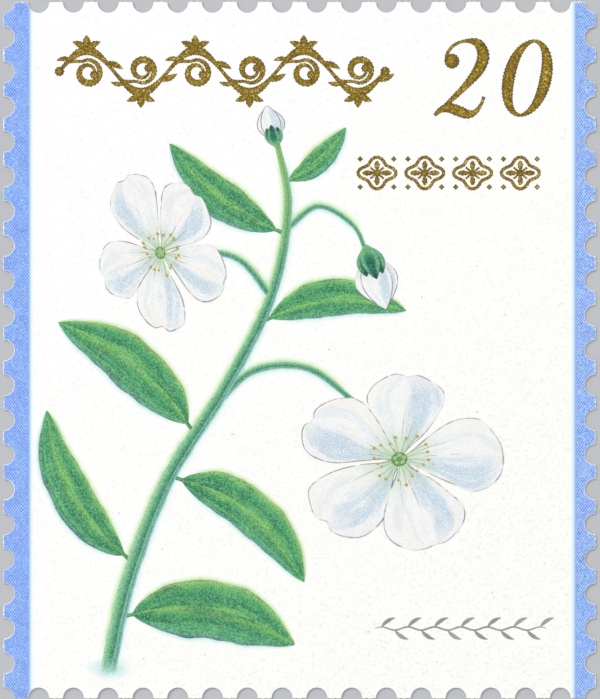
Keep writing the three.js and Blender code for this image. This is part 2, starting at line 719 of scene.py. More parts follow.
class PetalInkFinish(Finish):
    """Almost bare paper: a pale blue wash down the shaded side, faint grain and a green tint at the base."""

    def colour(self, on: Surface) -> Socket:
        """See Finish. Paint: along the petal, across it towards the light, and its tone."""
        along, across, _ = on.painted()
        grain, streak = on.tooth(3.0)
        first, _ = on.specks()
        white = on.mix(on.times(grain, 0.6), ink(254, 254, 253), ink(229, 231, 231))
        tints = on.blotch(0.14, 1.0)
        white = on.laid(white, (244, 232, 236), tints, 0.52, 0.72, 0.75)
        white = on.laid(white, (232, 244, 236), tints, 0.48, 0.3, 0.75)
        white = on.laid(white, (245, 241, 230), on.blotch(0.9), 0.5, 0.62, 0.45)
        drift = on.scaled(streak, 0.6, -0.3)
        side = on.math("ADD", across, drift)
        near, far = on.spread(side, 0.1, -0.45), on.spread(side, -0.95, -0.62, 0.12, 1.0)
        reach = on.spread(along, 0.98, 0.72, 0.35, 1.0)
        wash = on.times(on.times(near, far), reach)
        blue = on.mix(on.spread(grain, 0.1, 0.9), ink(217, 231, 243), ink(190, 207, 221))
        blue = on.laid(blue, (200, 226, 228), tints, 0.5, 0.3, 0.6)
        blue = on.laid(blue, (246, 250, 251), grain, 0.16, 0.0, 0.7)
        white = on.mix(wash, white, blue)
        white = on.laid(white, (254, 254, 254), first, 0.965, 0.985, 0.8)
        second = on.times(on.spread(side, 0.25, 0.5), on.spread(side, 0.75, 0.5))
        white = on.mix(on.times(second, 0.35), white, ink(206, 222, 234))
        depth = on.times(on.spread(along, 0.46, 0.04), 0.7)
        return on.mix(depth, white, on.mix(streak, ink(212, 230, 198), ink(160, 202, 172)))


@dataclass(frozen=True)
class LineInkFinish(Finish):
    """A thin pencil line that breaks up over the tooth of the paper."""

    dark: Colour = (138, 142, 156)
    warm: Colour = (164, 150, 146)
    pale: Colour = (238, 240, 242)
    breaks: float = 0.8  # how far the pencil lifts off in places

    def colour(self, on: Surface) -> Socket:
        """See Finish. Paint: along the line, across it, and the pencil's pressure."""
        _, _, pressure = on.painted()
        tooth, _ = on.tooth()
        lift = on.spread(on.blotch(0.7), 0.42, 0.62, 0.0, self.breaks)
        gap = on.scaled(tooth, 0.5, lift)
        share = on.scaled(pressure, -0.45, gap)
        lead = on.mix(on.spread(on.blotch(1.7), 0.44, 0.56), ink(*self.dark), ink(*self.warm))
        return on.mix(on.spread(share, 0.0, 0.85), lead, ink(*self.pale))


class FringeFinish(Finish):
    """The soft fringe of plates out of register: yellow-green on a form's lit side, cyan on its other."""

    def colour(self, on: Surface) -> Socket:
        """See Finish. Paint: how far it is along the form from an end where it fades, and out from the
        nearest form's edge, both in millimetres, and across that form towards the light."""
        along, outward, across = on.painted()
        uneven = on.scaled(on.blotch(0.3), 0.5, -0.25)
        share = on.scaled(outward, 1 / FRINGE_REACH, uneven)
        warm = on.ramp(share, [
            (0.0, (192, 224, 176)), (0.26, (219, 240, 205)),
            (0.5, (238, 249, 228)), (0.8, (249, 253, 244)),
        ])
        cool = on.ramp(share, [
            (0.0, (194, 226, 222)), (0.24, (222, 243, 240)),
            (0.48, (238, 249, 246)), (0.8, (250, 253, 251)),
        ])
        tint = on.mix(on.spread(across, -0.3, 0.3), cool, warm)
        edge = on.spread(on.math("DIVIDE", outward, FRINGE_REACH), 1.0, 0.7)
        strength = on.times(edge, on.spread(along, 0.5, 1.8))
        return on.mix(strength, on.washed(), tint)


class WashFinish(Finish):
    """A pale blue-green wash that runs out into the bare paper."""

    def colour(self, on: Surface) -> Socket:
        """See Finish."""
        return on.washed()


class PollenInkFinish(Finish):
    """Pale filaments that end in ochre dots, and the green middle that they spring from."""

    def colour(self, on: Surface) -> Socket:
        """See Finish. Paint: from a filament's foot to its dot, across it, and how deep in shade it is."""
        along, _, depth = on.painted()
        tooth, _ = on.tooth()
        thread = on.mix(tooth, ink(204, 220, 160), ink(142, 184, 122))
        thread = on.mix(depth, thread, on.mix(tooth, ink(118, 168, 98), ink(66, 128, 84)))
        dot = on.mix(tooth, ink(222, 198, 96), ink(162, 132, 46))
        return on.mix(on.spread(along, 0.78, 0.84), thread, dot)


class FloorFinish(Finish):
    """A plain pale tabletop."""

    def colour(self, on: Surface) -> Socket:
        """See Finish."""
        cloud = on.spread(on.blotch(14.0, 3.0), 0.3, 0.7)
        return on.mix(cloud, ink(194, 196, 200), ink(190, 192, 196))


# Drawing


def lift(x: Array, y: Array) -> Array:
    """Works out the faint unevenness of the sheet as it lies, which everything printed on it follows.

    Args:
        x: places across the stamp.
        y: places up it.

    Returns:
        How far the sheet stands up there.
    """
    waves = (
        np.sin(0.33 * x + 0.2 * y + 0.6)
        + 0.8 * np.sin(0.45 * y - 0.17 * x + 2.1)
        + 0.5 * np.sin(0.86 * x + 0.69 * y + 4.0)
    )
    return COCKLE_HEIGHT * (waves + 2.3) / 4.6


def wander(places: Array, length: float, seed: int) -> Array:
    """Draws a smooth random line.

    Args:
        places: where to read the line.
        length: how far it takes to turn about once.
        seed: for its random phases.

    Returns:
        A value of about -1 to 1 for each place.
    """
    rng = np.random.default_rng(seed)
    total = np.zeros(len(places))
    for factor, share in ((1.0, 0.5), (1.9, 0.3), (3.7, 0.2)):
        total += share * np.sin(tau * factor * places / length + rng.uniform(0, tau))
    return total


def smooth(controls: Sequence[Row], step: float, closed: bool = False) -> Array:
    """Draws a smooth curve through control rows and samples it evenly.

    Args:
        controls: rows that start with x and y. Further columns, such as a width, ride along.
        step: the distance between samples.
        closed: joins the last row to the first.

    Returns:
        One row for each sample.
    """
    rows = np.array(controls, float)
    if closed:
        padded = np.vstack([rows[-1], rows, rows[0], rows[1]])
    else:
        padded = np.vstack([2 * rows[0] - rows[1], rows, 2 * rows[-1] - rows[-2]])
    spans = []
    share = np.linspace(0, 1, 24, endpoint=False)[:, None]
    for first, start, end, last in zip(padded, padded[1:], padded[2:], padded[3:]):
        bend = 2 * first - 5 * start + 4 * end - last
        twist = 3 * (start - end) + last - first
        spans.append(0.5 * (2 * start + (end - first) * share + bend * share**2 + twist * share**3))
    dense = np.vstack([*spans, padded[-2]])
    run = run_of(dense)
    count = max(3, round(run[-1] / step))
    even = np.linspace(0, run[-1], count + 1)
    if closed:
        even = even[:-1]
    return np.column_stack([np.interp(even, run, dense[:, column]) for column in range(dense.shape[1])])


def run_of(line: Array) -> Array:
    """Returns how far along a line each of its points is."""
    return np.concatenate([[0], np.cumsum(np.linalg.norm(np.diff(line[:, :2], axis=0), axis=1))])


def saw(turns: Array) -> Array:
    """Returns a wave of straight flanks from -1 to 1, once for each turn."""
    return 2 * np.abs(2 * (turns % 1) - 1) - 1


def axes(degrees: float) -> Array:
    """Returns the unit vector in a direction and, as a second row, the one to its left."""
    turn = radians(degrees)
    return np.array([[cos(turn), sin(turn)], [-sin(turn), cos(turn)]])


def left_of(line: Array, closed: bool = False) -> Array:
    """Finds which way the left of a line's run is.

    Args:
        line: rows that start with x and y.
        closed: whether it ends where it starts.

    Returns:
        A unit vector for each row.
    """
    if closed:
        heading = np.roll(line[:, :2], -1, axis=0) - np.roll(line[:, :2], 1, axis=0)
    else:
        heading = np.gradient(line[:, :2], axis=0)
    heading /= np.maximum(np.linalg.norm(heading, axis=1, keepdims=True), 1e-12)
    return np.column_stack([-heading[:, 1], heading[:, 0]])


@dataclass
class Patch:
    """A flat figure before it gets a thickness: its points, their paint coordinates and its faces."""

    points: Array
    paint: Array
    faces: list[tuple[int, ...]]

    def mapped(self, change: Change) -> "Patch":
        """Returns the patch with its points sent through a function."""
        return Patch(change(self.points), self.paint, self.faces)


def grid_patch(points: Array, along: Array, across: Array, tone: float | Array,
               closed: bool = False) -> Patch:
    """Makes a patch of rows of points, each row running from right to left across the figure.

    Args:
        points: rows, columns and x and y.
        along: the first paint coordinate, for each row.
        across: the second one, for each column or each point.
        tone: the third one, in the same way or for all.
        closed: joins the last row to the first.

    Returns:
        The patch.
    """
    rows, columns = points.shape[:2]
    faces = []
    for row in range(rows if closed else rows - 1):
        for column in range(columns - 1):
            here = row * columns + column
            ahead = (row + 1) % rows * columns + column
            faces.append((here, ahead, ahead + 1, here + 1))
    paint = np.stack(np.broadcast_arrays(along[:, None], across, tone), axis=-1)
    return Patch(points.reshape(-1, 2), paint.reshape(-1, 3), faces)


def ribbon(line: Array, tone: float = 0.0, closed: bool = False, serration: float = 0.0,
           columns: int = 5, light: float = 1.0, edges: tuple[float, float] = (-1, 1)) -> Patch:
    """Makes a stroke of changing width.

    Args:
        line: rows of x, y and width.
        tone: the third paint coordinate.
        closed: joins the stroke's end to its start.
        serration: how far the screen's cells cut into its edges.
        columns: points across it.
        light: 1 where the left side faces the light, -1 where the right side does.
        edges: the second paint coordinate at the right and the left edge.

    Returns:
        The stroke, with its length from 0 to 1 as the first paint coordinate.
    """
    run = run_of(line)
    halves = []
    for side, phase in enumerate((0.37, 0.0)):
        turns = run / SCREEN_PITCH + phase + 0.22 * wander(run, 0.9, 60 + side)
        bite = serration * (line[:, 2] / SCREEN_PITCH / 2).clip(0.2, 1)
        halves.append(line[:, 2] / 2 + bite * (1 + 0.5 * wander(run, 1.3, 70 + side)) * saw(turns))
    share = np.linspace(0, 1, columns)
    offset = -halves[0][:, None] * (1 - share) + halves[1][:, None] * share
    points = line[:, None, :2] + left_of(line, closed)[:, None, :] * offset[:, :, None]
    across = edges[0] + (edges[1] - edges[0]) * (share if light > 0 else 1 - share)
    return grid_patch(points, run / max(run[-1], 1e-9), across, tone, closed)


def disc(x: float, y: float, radius: float, serration: float, sides: int, rings: int) -> Patch:
    """Makes a round dot.

    Args:
        x: its middle's place.
        y: its middle's place.
        radius: its radius.
        serration: how far the screen's cells cut into its rim.
        sides: points round it.
        rings: rings of faces from its middle to its rim.

    Returns:
        The dot. Its second paint coordinate runs from 0.5 at its middle to 1 at its rim.
    """
    teeth = max(4, round(tau * radius / SCREEN_PITCH))
    turn = np.linspace(0, tau, sides, endpoint=False)
    points, paint, faces = [[x, y]], [[1.0, 0.5, 0.0]], []
    for ring in range(1, rings + 1):
        share = ring / rings
        reach = radius * share + serration * saw(turn / tau * teeth) * (ring == rings)
        points += np.column_stack([x + reach * np.cos(turn), y + reach * np.sin(turn)]).tolist()
        paint += [[1.0, 0.5 + 0.5 * share, 0.0]] * sides
    for side in range(sides):
        after = (side + 1) % sides
        faces.append((0, 1 + side, 1 + after))
        for ring in range(rings - 1):
            inner, outer = 1 + ring * sides, 1 + (ring + 1) * sides
            faces.append((inner + side, outer + side, outer + after, inner + after))
    return Patch(np.array(points), np.array(paint), faces)


def filled(border: Array, inner: Array) -> list[tuple[int, ...]]:
    """Fills a closed border.

    Args:
        border: its points.
        inner: points inside it to use too.

    Returns:
        The faces, all facing up, by the points' places in the border and then the inner ones.
    """
    points = np.vstack([border, inner]) if len(inner) else border
    result = delaunay_2d_cdt([Vector(p) for p in points.tolist()], [], [list(range(len(border)))], 1, 1e-7)
    origin = [places[0] for places in result[3]]
    faces = []
    for face in result[2]:
        a, b, c = (origin[corner] for corner in face)
        side, other = points[b] - points[a], points[c] - points[a]
        faces.append((a, b, c) if side[0] * other[1] > side[1] * other[0] else (a, c, b))
    return faces


def divided(border: Array, step: float) -> Array:
    """Divides the long straight runs of a closed border.

    Args:
        border: its points.
        step: the longest run that may stay.

    Returns:
        The border's points.
    """
    rows = []
    for here, after in zip(border, np.roll(border, -1, axis=0)):
        count = max(1, ceil(np.linalg.norm(after - here) / step))
        rows += [here + (after - here) * share for share in np.arange(count) / count]
    return np.array(rows)


def lattice_inside(border: Array, step: float) -> Array:
    """Spreads points evenly inside a closed border.

    Args:
        border: the closed border's points.
        step: from one point to the next.

    Returns:
        The points, which keep clear of the border.
    """
    low, high = border.min(axis=0), border.max(axis=0)
    x, y = (axis.reshape(-1, 1) for axis in np.meshgrid(*(np.arange(low[i], high[i], step) for i in (0, 1))))
    end = np.roll(border, -1, axis=0)
    rise = end[:, 1] - border[:, 1]
    crosses = (border[:, 1] > y) != (end[:, 1] > y)
    meets = border[:, 0] + (y - border[:, 1]) * (end[:, 0] - border[:, 0]) / np.where(rise == 0, 1.0, rise)
    inside = (crosses & (x < meets)).sum(axis=1) % 2 == 1
    points = np.hstack([x, y])[inside]
    gap = np.linalg.norm(points[:, None] - border[None], axis=2).min(axis=1)
    return points[gap > 0.4 * step]


def slab(patch: Patch, low: float, high: float) -> tuple[Array, list[tuple[int, ...]]]:
    """Closes a flat figure into a thin solid.

    Args:
        patch: the figure.
        low: the height of its underside.
        high: the height of its top.

    Returns:
        The points of its top and then of its underside, and the faces.
    """
    size = len(patch.points)
    points = np.vstack([np.column_stack([patch.points, np.full(size, level)]) for level in (high, low)])
    edges = {(face[i], face[(i + 1) % len(face)]) for face in patch.faces for i in range(len(face))}
    faces = []
    for face in patch.faces:
        faces += [face, tuple(size + corner for corner in reversed(face))]
    for first, second in sorted(edges):
        if (second, first) not in edges:
            faces.append((second, first, size + first, size + second))
    return points, faces


def new_piece(name: str, points: Array, faces: Sequence[Sequence[int]], paint: Array) -> Piece:
    """Makes a mesh object.

    Args:
        name: the piece's name.
        points: rows of x, y and z in millimetres.
        faces: the points of each face.
        paint: the three paint coordinates of each point.

    Returns:
        The piece.
    """
    mesh = bpy.data.meshes.new(name)
    mesh.from_pydata((points * MM).tolist(), [], [list(face) for face in faces])
    layer = mesh.attributes.new(PAINT, "FLOAT_VECTOR", "POINT")
    layer.data.foreach_set("vector", paint.astype(np.float32).ravel())
    mesh.update()
    made = bpy.data.objects.new(name, mesh)
    bpy.context.scene.collection.objects.link(made)
    return made


class Film:
    """Printed ink: flat patches at their levels, each closed into a thin solid that soaks into the paper."""

    def __init__(self, name: str) -> None:
        """Starts an empty film.

        Args:
            name: the name of the piece that it becomes.
        """
        self.name = name
        self.points: list[Array] = []
        self.paint: list[Array] = []
        self.faces: list[tuple[int, ...]] = []
        self.count = 0
        self.patches = 0

    def add(self, patch: Patch, level: float = 1) -> None:
        """Adds a patch as a closed solid, a hair higher than the last, so that no two tops lie in one plane.

        Args:
            patch: the flat figure.
            level: how many ink layers its top stands above the paper.
        """
        level += HAIR * (self.patches % HAIRS)
        self.patches += 1
        points, faces = slab(patch, SHEET_THICKNESS - INK_SINK, SHEET_THICKNESS + level * INK_STEP)
        self.faces += [tuple(self.count + corner for corner in face) for face in faces]
        self.points.append(points)
        self.paint += [patch.paint, patch.paint]
        self.count += len(points)

    def build(self) -> Piece:
        """Makes the piece, still flat and undressed."""
        return new_piece(self.name, np.vstack(self.points), self.faces, np.vstack(self.paint))


def send(piece: Piece, change: Change) -> None:
    """Moves the points of a piece.

    Args:
        piece: the piece.
        change: takes their places in millimetres to the new ones.
    """
    points = piece.data.vertices
    places = np.empty(len(points) * 3)
    points.foreach_get("co", places)
    places = change(places.reshape(-1, 3) / MM) * MM
    points.foreach_set("co", places.ravel())
    piece.data.update()


def settled(places: Array) -> Array:
    """Lets flat places follow the unevenness of the sheet."""
    x, y, z = places.T
    return np.column_stack([x, y, z + lift(x, y)])


def hand_over(piece: Piece, material: Material) -> Piece:
    """Dresses a finished piece, sets it on the sheet, lets it ride on the stamp and reports it.

    Args:
        piece: the piece, with its place in its mesh.
        material: its finish.

    Returns:
        The piece.
    """
    piece.data.materials.clear()
    piece.data.materials.append(material)
    send(piece, settled)
    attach(piece, BODY)
    LOG.info("%s: %d faces", piece.name, len(piece.data.polygons))
    return piece


def grown(piece: Piece, tree: Tree, values: dict) -> Piece:
    """Runs a geometry tree on a piece and keeps the result as its plain mesh.

    Args:
        piece: the piece that the tree starts from.
        tree: the geometry tree.
        values: input name to value.

    Returns:
        The piece.
    """
    modifier = piece.modifiers.new("grow", "NODES")
    modifier.node_group = tree
    labels = {item.name: item.identifier for item in tree.interface.items_tree if item.in_out == "INPUT"}
    for label, value in values.items():
        modifier[labels[label]] = value
    bpy.context.view_layer.update()
    ready = piece.evaluated_get(bpy.context.evaluated_depsgraph_get())
    mesh = bpy.data.meshes.new_from_object(ready)
    piece.modifiers.clear()
    piece.data = mesh
    mesh.name = piece.name
    return piece


# Geometry trees


def row_tree() -> Tree:
    """Builds a tree that repeats a figure along a row, every second one mirrored if asked.

    Returns:
        The tree.
    """
    sizes = {"Count": 4, "Step": (2.0 * MM, 0, 0), "Start": (0, 0, 0), "Mirror Every Second": False}
    group = GrowthGroup("repeat_in_a_row", sizes)
    feeds = {"Count": group["Count"], "Start Location": group["Start"], "Offset": group["Step"]}
    line = group.out("GeometryNodeMeshLine", feeds, mode="OFFSET")
    upright = group["Geometry"]
    turned = group.out("GeometryNodeTransform", {"Geometry": upright, "Scale": (1, -1, 1)})
    mirrored = group.out("GeometryNodeFlipFaces", {"Mesh": turned})
    both = group.node("GeometryNodeJoinGeometry")
    for figure in (mirrored, upright):
        group.feed(both.inputs[0], group.out("GeometryNodeGeometryToInstance", {0: figure}))
    index = group.out("GeometryNodeInputIndex")
    second = group.times(group.math("MODULO", index, 2), group["Mirror Every Second"])
    return group.realized(
        {"Points": line, "Instance": both.outputs[0], "Pick Instance": True, "Instance Index": second}
    )


def ring_tree() -> Tree:
    """Builds a tree that sets a figure, drawn along +X, in a ring about the origin at uneven lengths.

    Returns:
        The tree.
    """
    group = GrowthGroup("repeat_in_a_ring", {"Count": 16, "Uneven": 0.25, "Seed": 1})
    spots = group.out("GeometryNodePoints", {"Count": group["Count"]})
    index = group.out("GeometryNodeInputIndex")
    turn = group.times(group.math("DIVIDE", index, group["Count"]), tau)
    sway = group.random("FLOAT", {"Min": -0.12, "Max": 0.12, "Seed": group["Seed"]})
    turn = group.math("ADD", turn, sway)
    least = group.math("SUBTRACT", 1.0, group["Uneven"])
    reach = group.random("FLOAT", {"Min": least, "Max": 1.0, "ID": index})
    return group.realized({
        "Points": spots,
        "Instance": group["Geometry"],
        "Rotation": group.join(0.0, 0.0, turn),
        "Scale": group.join(reach, reach, 1.0),
    })


def fibre_tree() -> Tree:
    """Builds a tree that grows fine paper fibres from points, each along the point's outward direction.

    Returns:
        The tree.
    """
    sizes = {"Length": 0.16 * MM, "Radius": 0.006 * MM, "Spread": 0.8, "Seed": 7}
    group = GrowthGroup("torn_fibres", sizes)
    length, seed = group["Length"], group["Seed"]
    along = group.join(0.0, 0.0, length)
    middle = group.join(group.times(length, 0.22), 0.0, group.times(length, 0.5))
    feeds = {"Resolution": 5, "Start": (0, 0, 0), "Middle": middle, "End": along}
    hair = group.out("GeometryNodeCurveQuadraticBezier", feeds)
    taper = group.scaled(group.node("GeometryNodeSplineParameter").outputs["Factor"], -0.65, 1.0)
    hair = group.out("GeometryNodeSetCurveRadius", {"Curve": hair, "Radius": taper})
    section = group.out("GeometryNodeCurvePrimitiveCircle", {"Resolution": 5, "Radius": group["Radius"]})
    feeds = {"Curve": hair, "Profile Curve": section, "Fill Caps": True}
    thread = group.node("GeometryNodeCurveToMesh", feeds)
    if "Scale" in thread.inputs:
        group.feed(thread.inputs["Scale"], taper)
    outward = group.node("GeometryNodeInputNamedAttribute", {"Name": PAINT}, data_type="FLOAT_VECTOR")
    stray = group.random("FLOAT_VECTOR", {0: (-1, -1, -0.35), 1: (1, 1, 0.5), "Seed": seed})
    stray = group.out("ShaderNodeVectorMath", {0: stray, "Scale": group["Spread"]}, operation="SCALE")
    heading = group.vector_math("ADD", outward.outputs["Attribute"], stray)
    turned = group.out("FunctionNodeAlignRotationToVector", {"Vector": heading}, axis="Z")
    size = group.random("FLOAT", {"Min": 0.35, "Max": 1.25, "Seed": seed})
    return group.realized(
        {"Points": group["Geometry"], "Instance": thread.outputs[0], "Rotation": turned, "Scale": size}
    )


def in_a_row(figure: Film, tree: Tree, material: Material, count: int, step: float,
             start: tuple[float, float], mirrored: bool = False) -> Piece:
    """Repeats a figure in a row to the right.

    Args:
        figure: the figure, drawn about the origin.
        tree: the tree that repeats it.
        material: its finish.
        count: how many there are.
        step: from one to the next.
        start: where the first one goes.
        mirrored: whether every second one is upside down.

    Returns:
        The piece.
    """
    values = {
        "Count": count,
        "Step": (step * MM, 0.0, 0.0),
        "Start": (start[0] * MM, start[1] * MM, 0.0),
        "Mirror Every Second": mirrored,
        "Material": material,
    }
    return grown(figure.build(), tree, values)


# The sheet


@dataclass(frozen=True)
class Perforation:
    """The rows of punched half holes round the stamp, with the torn teeth between them."""

    across: int = 17  # pitches along the top and the bottom
    down: int = 20  # and down the sides
    hole_radius: float = 0.45
    hole_steps: int = 24
    tooth_steps: int = 12
    tear: float = 0.03  # how far a tooth's torn tip strays from the line through the holes

    def outline(self, hole_inset: float = 0.0, tip_inset: float = 0.0, tear: float = 0.0, seed: int = 3
                ) -> tuple[Array, Array, Array]:
        """Runs once round the stamp, anticlockwise.

        Args:
            hole_inset: how far inside the punched holes' edge to stay.
            tip_inset: how far inside the teeth's tips to stay.
            tear: how strongly the tips are torn, as a share of the full tear.
            seed: for the tears.

        Returns:
            The points, the direction out of the paper at each, and how torn the edge is there, 0 to 1.
        """
        rng = np.random.default_rng(seed)
        points, outward, torn = [], [], []
        half_tooth = SHEET_WIDTH / self.across / 2 - self.hole_radius
        corners = np.array([(-1, -1), (1, -1), (1, 1), (-1, 1)]) * (SHEET_WIDTH / 2, SHEET_HEIGHT / 2)
        sides = zip(corners, np.roll(corners, -1, axis=0), (self.across, self.down) * 2)
        for corner, next_corner, pitches in sides:
            length = np.linalg.norm(next_corner - corner)
            along = (next_corner - corner) / length
            out = np.array([along[1], -along[0]])
            heading = atan2(along[1], along[0])
            pitch = length / pitches
            for hole in range(pitches):
                centre = corner + along * hole * pitch
                reach = self.hole_radius + hole_inset + rng.uniform(-0.006, 0.006)
                turn = pi if hole else pi / 2
                for step in range(self.hole_steps + 1):
                    angle = heading + turn - turn * step / self.hole_steps
                    ray = np.array([cos(angle), sin(angle)])
                    brink = step == self.hole_steps or (step == 0 and hole > 0)
                    points.append(centre + ray * reach - out * tip_inset * brink)
                    outward.append((out - ray) / sqrt(2) if brink else -ray)
                    torn.append(0.5 if brink else 0.0)
                tooth = centre + along * pitch / 2
                phase = rng.uniform(0, 100)
                stray = rng.uniform(-0.5, 0.7)
                for step in range(1, self.tooth_steps):
                    share = 2 * step / self.tooth_steps - 1
                    jag = wander(np.array([share + phase]), 0.9, seed)[0] + stray
                    swell = sqrt(1 - share**2)
                    shift = self.tear * tear * jag * swell - tip_inset
                    points.append(tooth + along * share * (half_tooth - hole_inset) + out * shift)
                    outward.append(out)
                    torn.append(swell)
        return np.array(points), np.array(outward), np.array(torn)


PERFORATION = Perforation()


@dataclass
class StampSheet:
    """The sheet of paper with its perforated edge."""

    face_step: float = 0.75  # between points on the sheet's faces
    face_margin: float = 0.7  # from its edge to the first of them

    # of each level of the edge: its height as a share of the thickness, its inset, how torn it is, a seed
    rings = (
        (1.0, 0.014, 0.9, 3),
        (0.95, 0.004, 1.0, 3),
        (0.8, 0.0, 1.15, 5),
        (0.58, 0.0, 1.3, 8),
        (0.34, -0.002, 1.4, 9),
        (0.1, -0.004, 1.0, 11),
        (0.0, 0.008, 0.7, 3),
    )

    def inner_points(self) -> Array:
        """Spreads even points over the middle of the sheet, so that its faces can follow the cockle.

        Returns:
            Rows of x and y.
        """
        reach_x = SHEET_WIDTH / 2 - self.face_margin
        reach_y = SHEET_HEIGHT / 2 - self.face_margin
        columns = round(2 * reach_x / self.face_step)
        rows = round(2 * reach_y / self.face_step)
        x, y = np.meshgrid(np.linspace(-reach_x, reach_x, columns), np.linspace(-reach_y, reach_y, rows))
        return np.column_stack([x.ravel(), y.ravel()])

    def build(self) -> Piece:
        """Makes the sheet as one closed mesh.

        Returns:
            The piece.
        """
        inner = self.inner_points()
        levels, paints, faces = [], [], []
        for height, inset, tear, seed in self.rings:
            border, _, torn = PERFORATION.outline(inset, inset, tear, seed)
            heights = np.full(len(border), height)
            levels.append(np.column_stack([border, heights * SHEET_THICKNESS]))
            paints.append(np.column_stack([torn * (0 < height < 1), heights, torn]))
        size = len(border)
        last = size * (len(self.rings) - 1)
        top_inner = last + size
        bottom_inner = top_inner + len(inner)
        for face in filled(levels[0][:, :2], inner):
            faces.append(tuple(c if c < size else top_inner + c - size for c in face))
            faces.append(tuple(last + c if c < size else bottom_inner + c - size for c in reversed(face)))
        for upper in range(0, last, size):
            for here in range(size):
                after, lower = (here + 1) % size, upper + size
                faces.append((upper + after, upper + here, lower + here, lower + after))
        for height in (1.0, 0.0):
            levels.append(np.column_stack([inner, np.full(len(inner), height * SHEET_THICKNESS)]))
            paints.append(np.tile([0.0, height, 0.0], (len(inner), 1)))
        return new_piece("paper_sheet", np.vstack(levels), faces, np.vstack(paints))


@dataclass
class TornFibres:
    """Fine fibres that stand out of the torn tips of the teeth."""

    sink: float = 0.03  # how deep their roots are in the paper
    least_torn: float = 0.6  # how torn the edge is where they grow
    seed: int = 21

    def build(self, tree: Tree, material: Material) -> Piece:
        """Grows the fibres from points on the tips, at random heights within the paper.

        Args:
            tree: the tree that grows fibres.
            material: their finish.

        Returns:
            The piece.
        """
        rng = np.random.default_rng(self.seed)
        border, outward, torn = PERFORATION.outline(tear=1.2, seed=8)
        roots, headings = [], []
        for spot, out in zip(border[torn > self.least_torn], outward[torn > self.least_torn]):
            level = SHEET_THICKNESS * rng.uniform(0.15, 0.85)
            roots.append([*(spot - out * self.sink), level])
            headings.append([*out, 0.0])
        piece = new_piece("torn_fibres", np.array(roots), [], np.array(headings))
        return grown(piece, tree, {"Material": material, "Seed": 7})


@dataclass
class GumCoat:
    """The dried gum under the sheet, a little inside its edge."""

    thickness: float = 0.012
    below: float = 0.001  # how far it stands out under the sheet
    inset: float = 0.03

    def build(self, inner: Array) -> Piece:
        """Makes the gum as a thin closed film that the sheet's underside sinks into.

        Args:
            inner: points over the middle of the sheet.

        Returns:
            The piece.
        """
        border, _, _ = PERFORATION.outline(self.inset, self.inset, 0.5, 3)
        flat = np.vstack([border, inner])
        patch = Patch(flat, np.zeros((len(flat), 3)), filled(border, inner))
        points, faces = slab(patch, -self.below, self.thickness)
        return new_piece("gum_coat", points, faces, np.zeros((len(points), 3)))


class Side(Enum):
    """Which side of the stamp a band runs down."""

    LEFT = -1
    RIGHT = 1


@dataclass
class MarginBand:
    """A blue band down one side, printed off the stamp's edge and cut by its holes."""

    side: Side
    inner_edge: float  # distance of its inner edge from the stamp's middle
    fade: float  # how far the film reaches past it, under the pale fringe
    rim: float = 0.018  # bare paper left round each hole, a pale rim at its punched edge
    tip_rim: float = 0.012  # and at the tips of the teeth
    grid: float = 0.4  # between points on the film

    def clipped(self, border: Array, edge: float) -> Array:
        """Cuts an outline off at a distance from the stamp's middle.

        Args:
            border: the outline.
            edge: the distance.

        Returns:
            The outline of the part beyond it, with points all along the cut.
        """
        sign = self.side.value
        kept = []
        for here, after in zip(border, np.roll(border, -1, axis=0)):
            beyond, next_beyond = sign * here[0] >= edge, sign * after[0] >= edge
            if beyond:
                kept.append(here)
            if beyond != next_beyond:
                share = (sign * edge - here[0]) / (after[0] - here[0])
                kept.append(here + (after - here) * share)
        return divided(np.array(kept), self.grid)

    def build(self) -> Piece:
        """Makes the band as a film clipped out of the perforated outline.

        Returns:
            The piece.
        """
        border, _, _ = PERFORATION.outline(self.rim, self.tip_rim, 0.8, 3)
        edge = self.inner_edge - self.fade
        sign = self.side.value
        clipped = self.clipped(border, edge)
        steps = round(SHEET_HEIGHT / self.grid)
        reach = SHEET_HEIGHT / 2 - 0.6
        lanes = (edge + 0.16, edge + 0.36, SHEET_WIDTH / 2 - 0.55)
        inner = np.array([[sign * lane, y] for lane in lanes for y in np.linspace(-reach, reach, steps)])
        faces = filled(clipped, inner)
        points = np.vstack([clipped, inner])
        paint = np.column_stack([sign * points[:, 0] - self.inner_edge, points[:, 1], np.zeros(len(points))])
        film = Film(f"blue_band_{self.side.name.lower()}")
        film.add(Patch(points, paint, faces), 1)
        return film.build()


# Gold printing

STROKE_STEP = SCREEN_PITCH / 6
GOLD_SERRATION = 0.021  # how far the screen's cells cut into the gold's edges
GOLD_LEVEL = 2  # ink layers that the lowest gold stands above the paper


def gold_stroke(controls: Sequence[Row], closed: bool = False, columns: int = 5) -> Patch:
    """Makes a gold stroke of changing width, its edges cut by the screen."""
    line = smooth(controls, STROKE_STEP, closed)
    return ribbon(line, closed=closed, serration=GOLD_SERRATION, columns=columns, edges=(0, 1))


def gold_dot(x: float, y: float, radius: float) -> Patch:
    """Makes a gold dot, its rim cut by the screen."""
    sides = 6 * max(4, round(tau * radius / SCREEN_PITCH))
    return disc(x, y, radius, GOLD_SERRATION, sides, 2)


